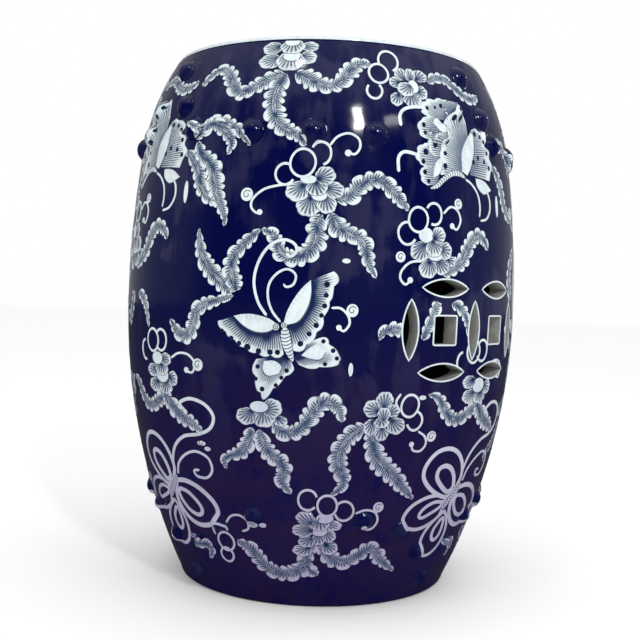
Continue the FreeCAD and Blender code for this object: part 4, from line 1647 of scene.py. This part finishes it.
class STOOL_OT_seat_pattern(bpy.types.Operator):
    """Paint leaf scrolls, flowers and rings round the coin of the seat"""
    bl_idname = "stool.seat_pattern"
    bl_label = "Seat pattern"

    def execute(self, context):
        finishes = finishes_of("leaf middle", "leaf lobes", "petal brushwork", "outlined white",
                               "reserved white", "cobalt glaze")
        paint = Paint(Seat(), [0.0])
        for quarter in range(4):
            turn = 90 * quarter + 45
            leaf(paint, turned_about(SEAT_LEAF, turn), 0, 0.3 + 0.2 * quarter)
            leaf(paint, turned_about([(p[0], -p[1], p[2]) for p in SEAT_LEAF], turn), 1, 0.6 + 0.1 * quarter)
            centre = turned_about([(88, 0)], turn)[0]
            for number in range(6):
                tilt = turn + 60 * number
                away = turned_about([(8.6, 0)], tilt)[0]
                layer = 3 + 0.5 * (number % 3)
                petal(paint, centre[0] + away[0], centre[1] + away[1], 7.4, 6.2, -6.8, 0, layer, 2, tilt)
            ball(paint, *centre, 5.2, 5.2, 5.4, 3)
            ring(paint, *turned_about([(108, 0)], turn)[0], 6.4, 0, 360, 1.1, 5.6, 4)
            ring(paint, *turned_about([(118, 8)], turn)[0], 5.2, turn - 170, turn + 100, 1.1, 5.2, 4)
            ring(paint, *turned_about([(118, -8)], turn)[0], 5.2, turn - 100, turn + 170, 1.1, 5.2, 4)
            hook = turned_about(SEAT_HOOK, turn + 45)
            brush_line(paint, hook, 1.1, 4, 4, 0.2)
            ball(paint, *turned_about([(70, 14)], turn + 45)[0], 4.2, 4.2, 4.6, 4)
        for outline in seat_piercings():
            edge_line(paint, outline, on_seat, sizes().edge_width / MM, 6, 4)
        paint.finish("seat_pattern", finishes)
        return {"FINISHED"}


def aimed(position, target, roll=0.0):
    """Place and turn of a lamp or camera that looks at a target."""
    forward = (Vector(target) - Vector(position)).normalized()
    right = forward.cross(Vector((0, 0, 1))).normalized()
    up = right.cross(forward)
    c, s = math.cos(math.radians(roll)), math.sin(math.radians(roll))
    turned_right, turned_up = right * c + up * s, up * c - right * s
    basis = Matrix((turned_right, turned_up, -forward)).transposed().to_4x4()
    return Matrix.Translation(position) @ basis


# Lamps: name, position and target in metres, size and power
LAMPS = (
    ("key lamp", (1.34, -0.656, 1.279), (0.12, -0.06, 0.395), (0.12, 0.3), 7.5),
    ("second lamp", (1.509, -0.103, 1.229), (0.12, -0.03, 0.39), (0.3, 0.12), 0.7),
    ("third lamp", (1.522, -0.506, 1.057), (0.13, -0.06, 0.36), (0.07, 0.09), 0.3),
    ("top lamp", (0.296, -0.878, 1.828), (0.09, -0.09, 0.43), (0.16, 0.1), 0.9),
    ("side lamp", (0.549, 1.455, 0.992), (0.1, 0.1, 0.39), (0.14, 0.2), 0.9),
)

# The room as the glaze mirrors it, and as it lights
MIRRORED_SIDES = 0.17
MIRRORED_BEHIND = 0.10
MIRRORED_CEILING = 0.34
MIRRORED_STRIP = 0.10
ROOM_LIGHT = 1.06

# Camera: lengths in metres, angles in degrees
CAMERA_DISTANCE = 0.9212
CAMERA_HEIGHT = 0.2587
CAMERA_PITCH = 1.283
CAMERA_ROLL = 1.976
CAMERA_LENS = 56.09
CAMERA_SHIFT = (-0.0007, -0.0151)
FRONT = Vector((math.sqrt(0.5), -math.sqrt(0.5), 0.0))


def lamp(name, position, target, size, power):
    bpy.ops.object.select_all(action="DESELECT")
    bpy.ops.object.light_add(type="AREA", location=position)
    light = bpy.context.object
    light.name = name
    light.data.shape = "RECTANGLE"
    light.data.size, light.data.size_y = size
    light.data.energy = power
    light.matrix_world = aimed(position, target)


def lay_floor():
    """A wide pale floor, dark where the glaze mirrors it."""
    bpy.ops.object.select_all(action="DESELECT")
    bpy.ops.mesh.primitive_circle_add(vertices=64, radius=9.0, fill_type="NGON", location=(0, 0, 0))
    floor = bpy.context.object
    floor.name = "studio_floor"
    material, n, surface = new_material("studio floor")
    uneven = n.math("MULTIPLY", n.group(kiln_mottle(), scale=3.0, streak=0.1)["Mask"], 0.15)
    pale = colours().floor
    n.put(surface.inputs["Base Color"], n.mix(uneven, pale, tuple(value * 0.97 for value in pale)))
    surface.inputs["Roughness"].default_value = 0.7
    surface.inputs["Specular IOR Level"].default_value = 0.2
    dark = n.add("ShaderNodeBsdfDiffuse")
    dark.inputs["Color"].default_value = (0.05, 0.05, 0.05, 1)
    mixed = n.add("ShaderNodeMixShader")
    n.put(mixed.inputs[0], n.add("ShaderNodeLightPath").outputs["Is Glossy Ray"])
    n.put(mixed.inputs[1], surface.outputs[0])
    n.put(mixed.inputs[2], dark.outputs[0])
    n.put(material.node_tree.nodes["Material Output"].inputs["Surface"], mixed.outputs[0])
    floor.data.materials.append(material)


def light_room():
    """A white room round the stool, dimmer where the glaze mirrors it."""
    world = bpy.data.worlds.new("studio")
    bpy.context.scene.world = world
    world.use_nodes = True
    n = Nodes(world.node_tree)
    background = world.node_tree.nodes["Background"]
    rays = n.add("ShaderNodeLightPath").outputs
    direction = n.add("ShaderNodeTexCoord").outputs["Generated"]

    def facing(toward):
        node = n.add("ShaderNodeVectorMath", operation="DOT_PRODUCT")
        n.put(node.inputs[0], direction)
        node.inputs[1].default_value = toward
        return node.outputs["Value"]

    front = facing(FRONT)
    sides = n.step(front, 0.5, 0.0, 0.0, MIRRORED_SIDES)
    behind = n.step(front, -0.3, -0.9, 0.0, MIRRORED_BEHIND)
    ceiling = n.step(facing((0.0, 0.0, 1.0)), 0.45, 0.85, 0.0, MIRRORED_CEILING)
    strip = n.step(facing((0.956, -0.292, 0.0)), 0.9, 0.985, 0.0, MIRRORED_STRIP)
    mirrored = n.math("ADD", n.math("ADD", sides, behind), n.math("ADD", ceiling, strip))
    seen = n.math("MAXIMUM", rays["Is Camera Ray"], n.math("MULTIPLY", rays["Is Glossy Ray"], mirrored))
    seen = n.math("MAXIMUM", seen, rays["Is Transmission Ray"])
    lighting = n.math("MULTIPLY", rays["Is Diffuse Ray"], ROOM_LIGHT)
    n.put(background.inputs["Strength"], n.math("MAXIMUM", seen, lighting))
    background.inputs["Color"].default_value = (1, 1, 1, 1)


def aim_camera():
    bpy.ops.object.camera_add()
    camera = bpy.context.object
    camera.name = "photo camera"
    camera.data.lens = CAMERA_LENS
    camera.data.sensor_width = 36.0
    camera.data.shift_x, camera.data.shift_y = CAMERA_SHIFT
    pitch = math.radians(CAMERA_PITCH)
    position = FRONT * CAMERA_DISTANCE + Vector((0, 0, CAMERA_HEIGHT))
    ahead = -FRONT * math.cos(pitch) - Vector((0, 0, math.sin(pitch)))
    camera.matrix_world = aimed(position, position + ahead, CAMERA_ROLL)
    bpy.context.scene.camera = camera


class STOOL_OT_studio(bpy.types.Operator):
    """Lay the pale floor, set the soft light and aim the camera"""
    bl_idname = "stool.studio"
    bl_label = "Studio"

    def execute(self, context):
        lay_floor()
        light_room()
        for settings in LAMPS:
            lamp(*settings)
        aim_camera()
        context.scene.view_settings.view_transform = "Standard"
        return {"FINISHED"}


class STOOL_PT_panel(bpy.types.Panel):
    bl_label = "Garden stool"
    bl_idname = "STOOL_PT_panel"
    bl_space_type = "VIEW_3D"
    bl_region_type = "UI"
    bl_category = "Garden stool"

    def draw(self, context):
        for group in (context.scene.garden_stool_sizes, context.scene.garden_stool_colours):
            for key in group.__annotations__:
                self.layout.prop(group, key)
        for operator in STEPS:
            self.layout.operator(operator.bl_idname)


STEPS = (STOOL_OT_wall, STOOL_OT_seat, STOOL_OT_studs, STOOL_OT_leaf_scrolls, STOOL_OT_flowers,
         STOOL_OT_butterflies, STOOL_OT_rings_and_hooks, STOOL_OT_coin_edges, STOOL_OT_seat_pattern,
         STOOL_OT_studio)
CLASSES = (StoolSizes, StoolColours) + STEPS + (STOOL_PT_panel,)


def register():
    for item in CLASSES:
        bpy.utils.register_class(item)
    bpy.types.Scene.garden_stool_sizes = PointerProperty(type=StoolSizes)
    bpy.types.Scene.garden_stool_colours = PointerProperty(type=StoolColours)


def unregister():
    del bpy.types.Scene.garden_stool_colours
    del bpy.types.Scene.garden_stool_sizes
    for item in reversed(CLASSES):
        bpy.utils.unregister_class(item)


def main():
    register()
    bpy.ops.stool.wall()
    bpy.ops.stool.seat()
    bpy.ops.stool.studs()
    bpy.ops.stool.leaf_scrolls()
    bpy.ops.stool.flowers()
    bpy.ops.stool.butterflies()
    bpy.ops.stool.rings_and_hooks()
    bpy.ops.stool.coin_edges()
    bpy.ops.stool.seat_pattern()
    bpy.ops.stool.studio()


if __name__ == "__main__":
    main()
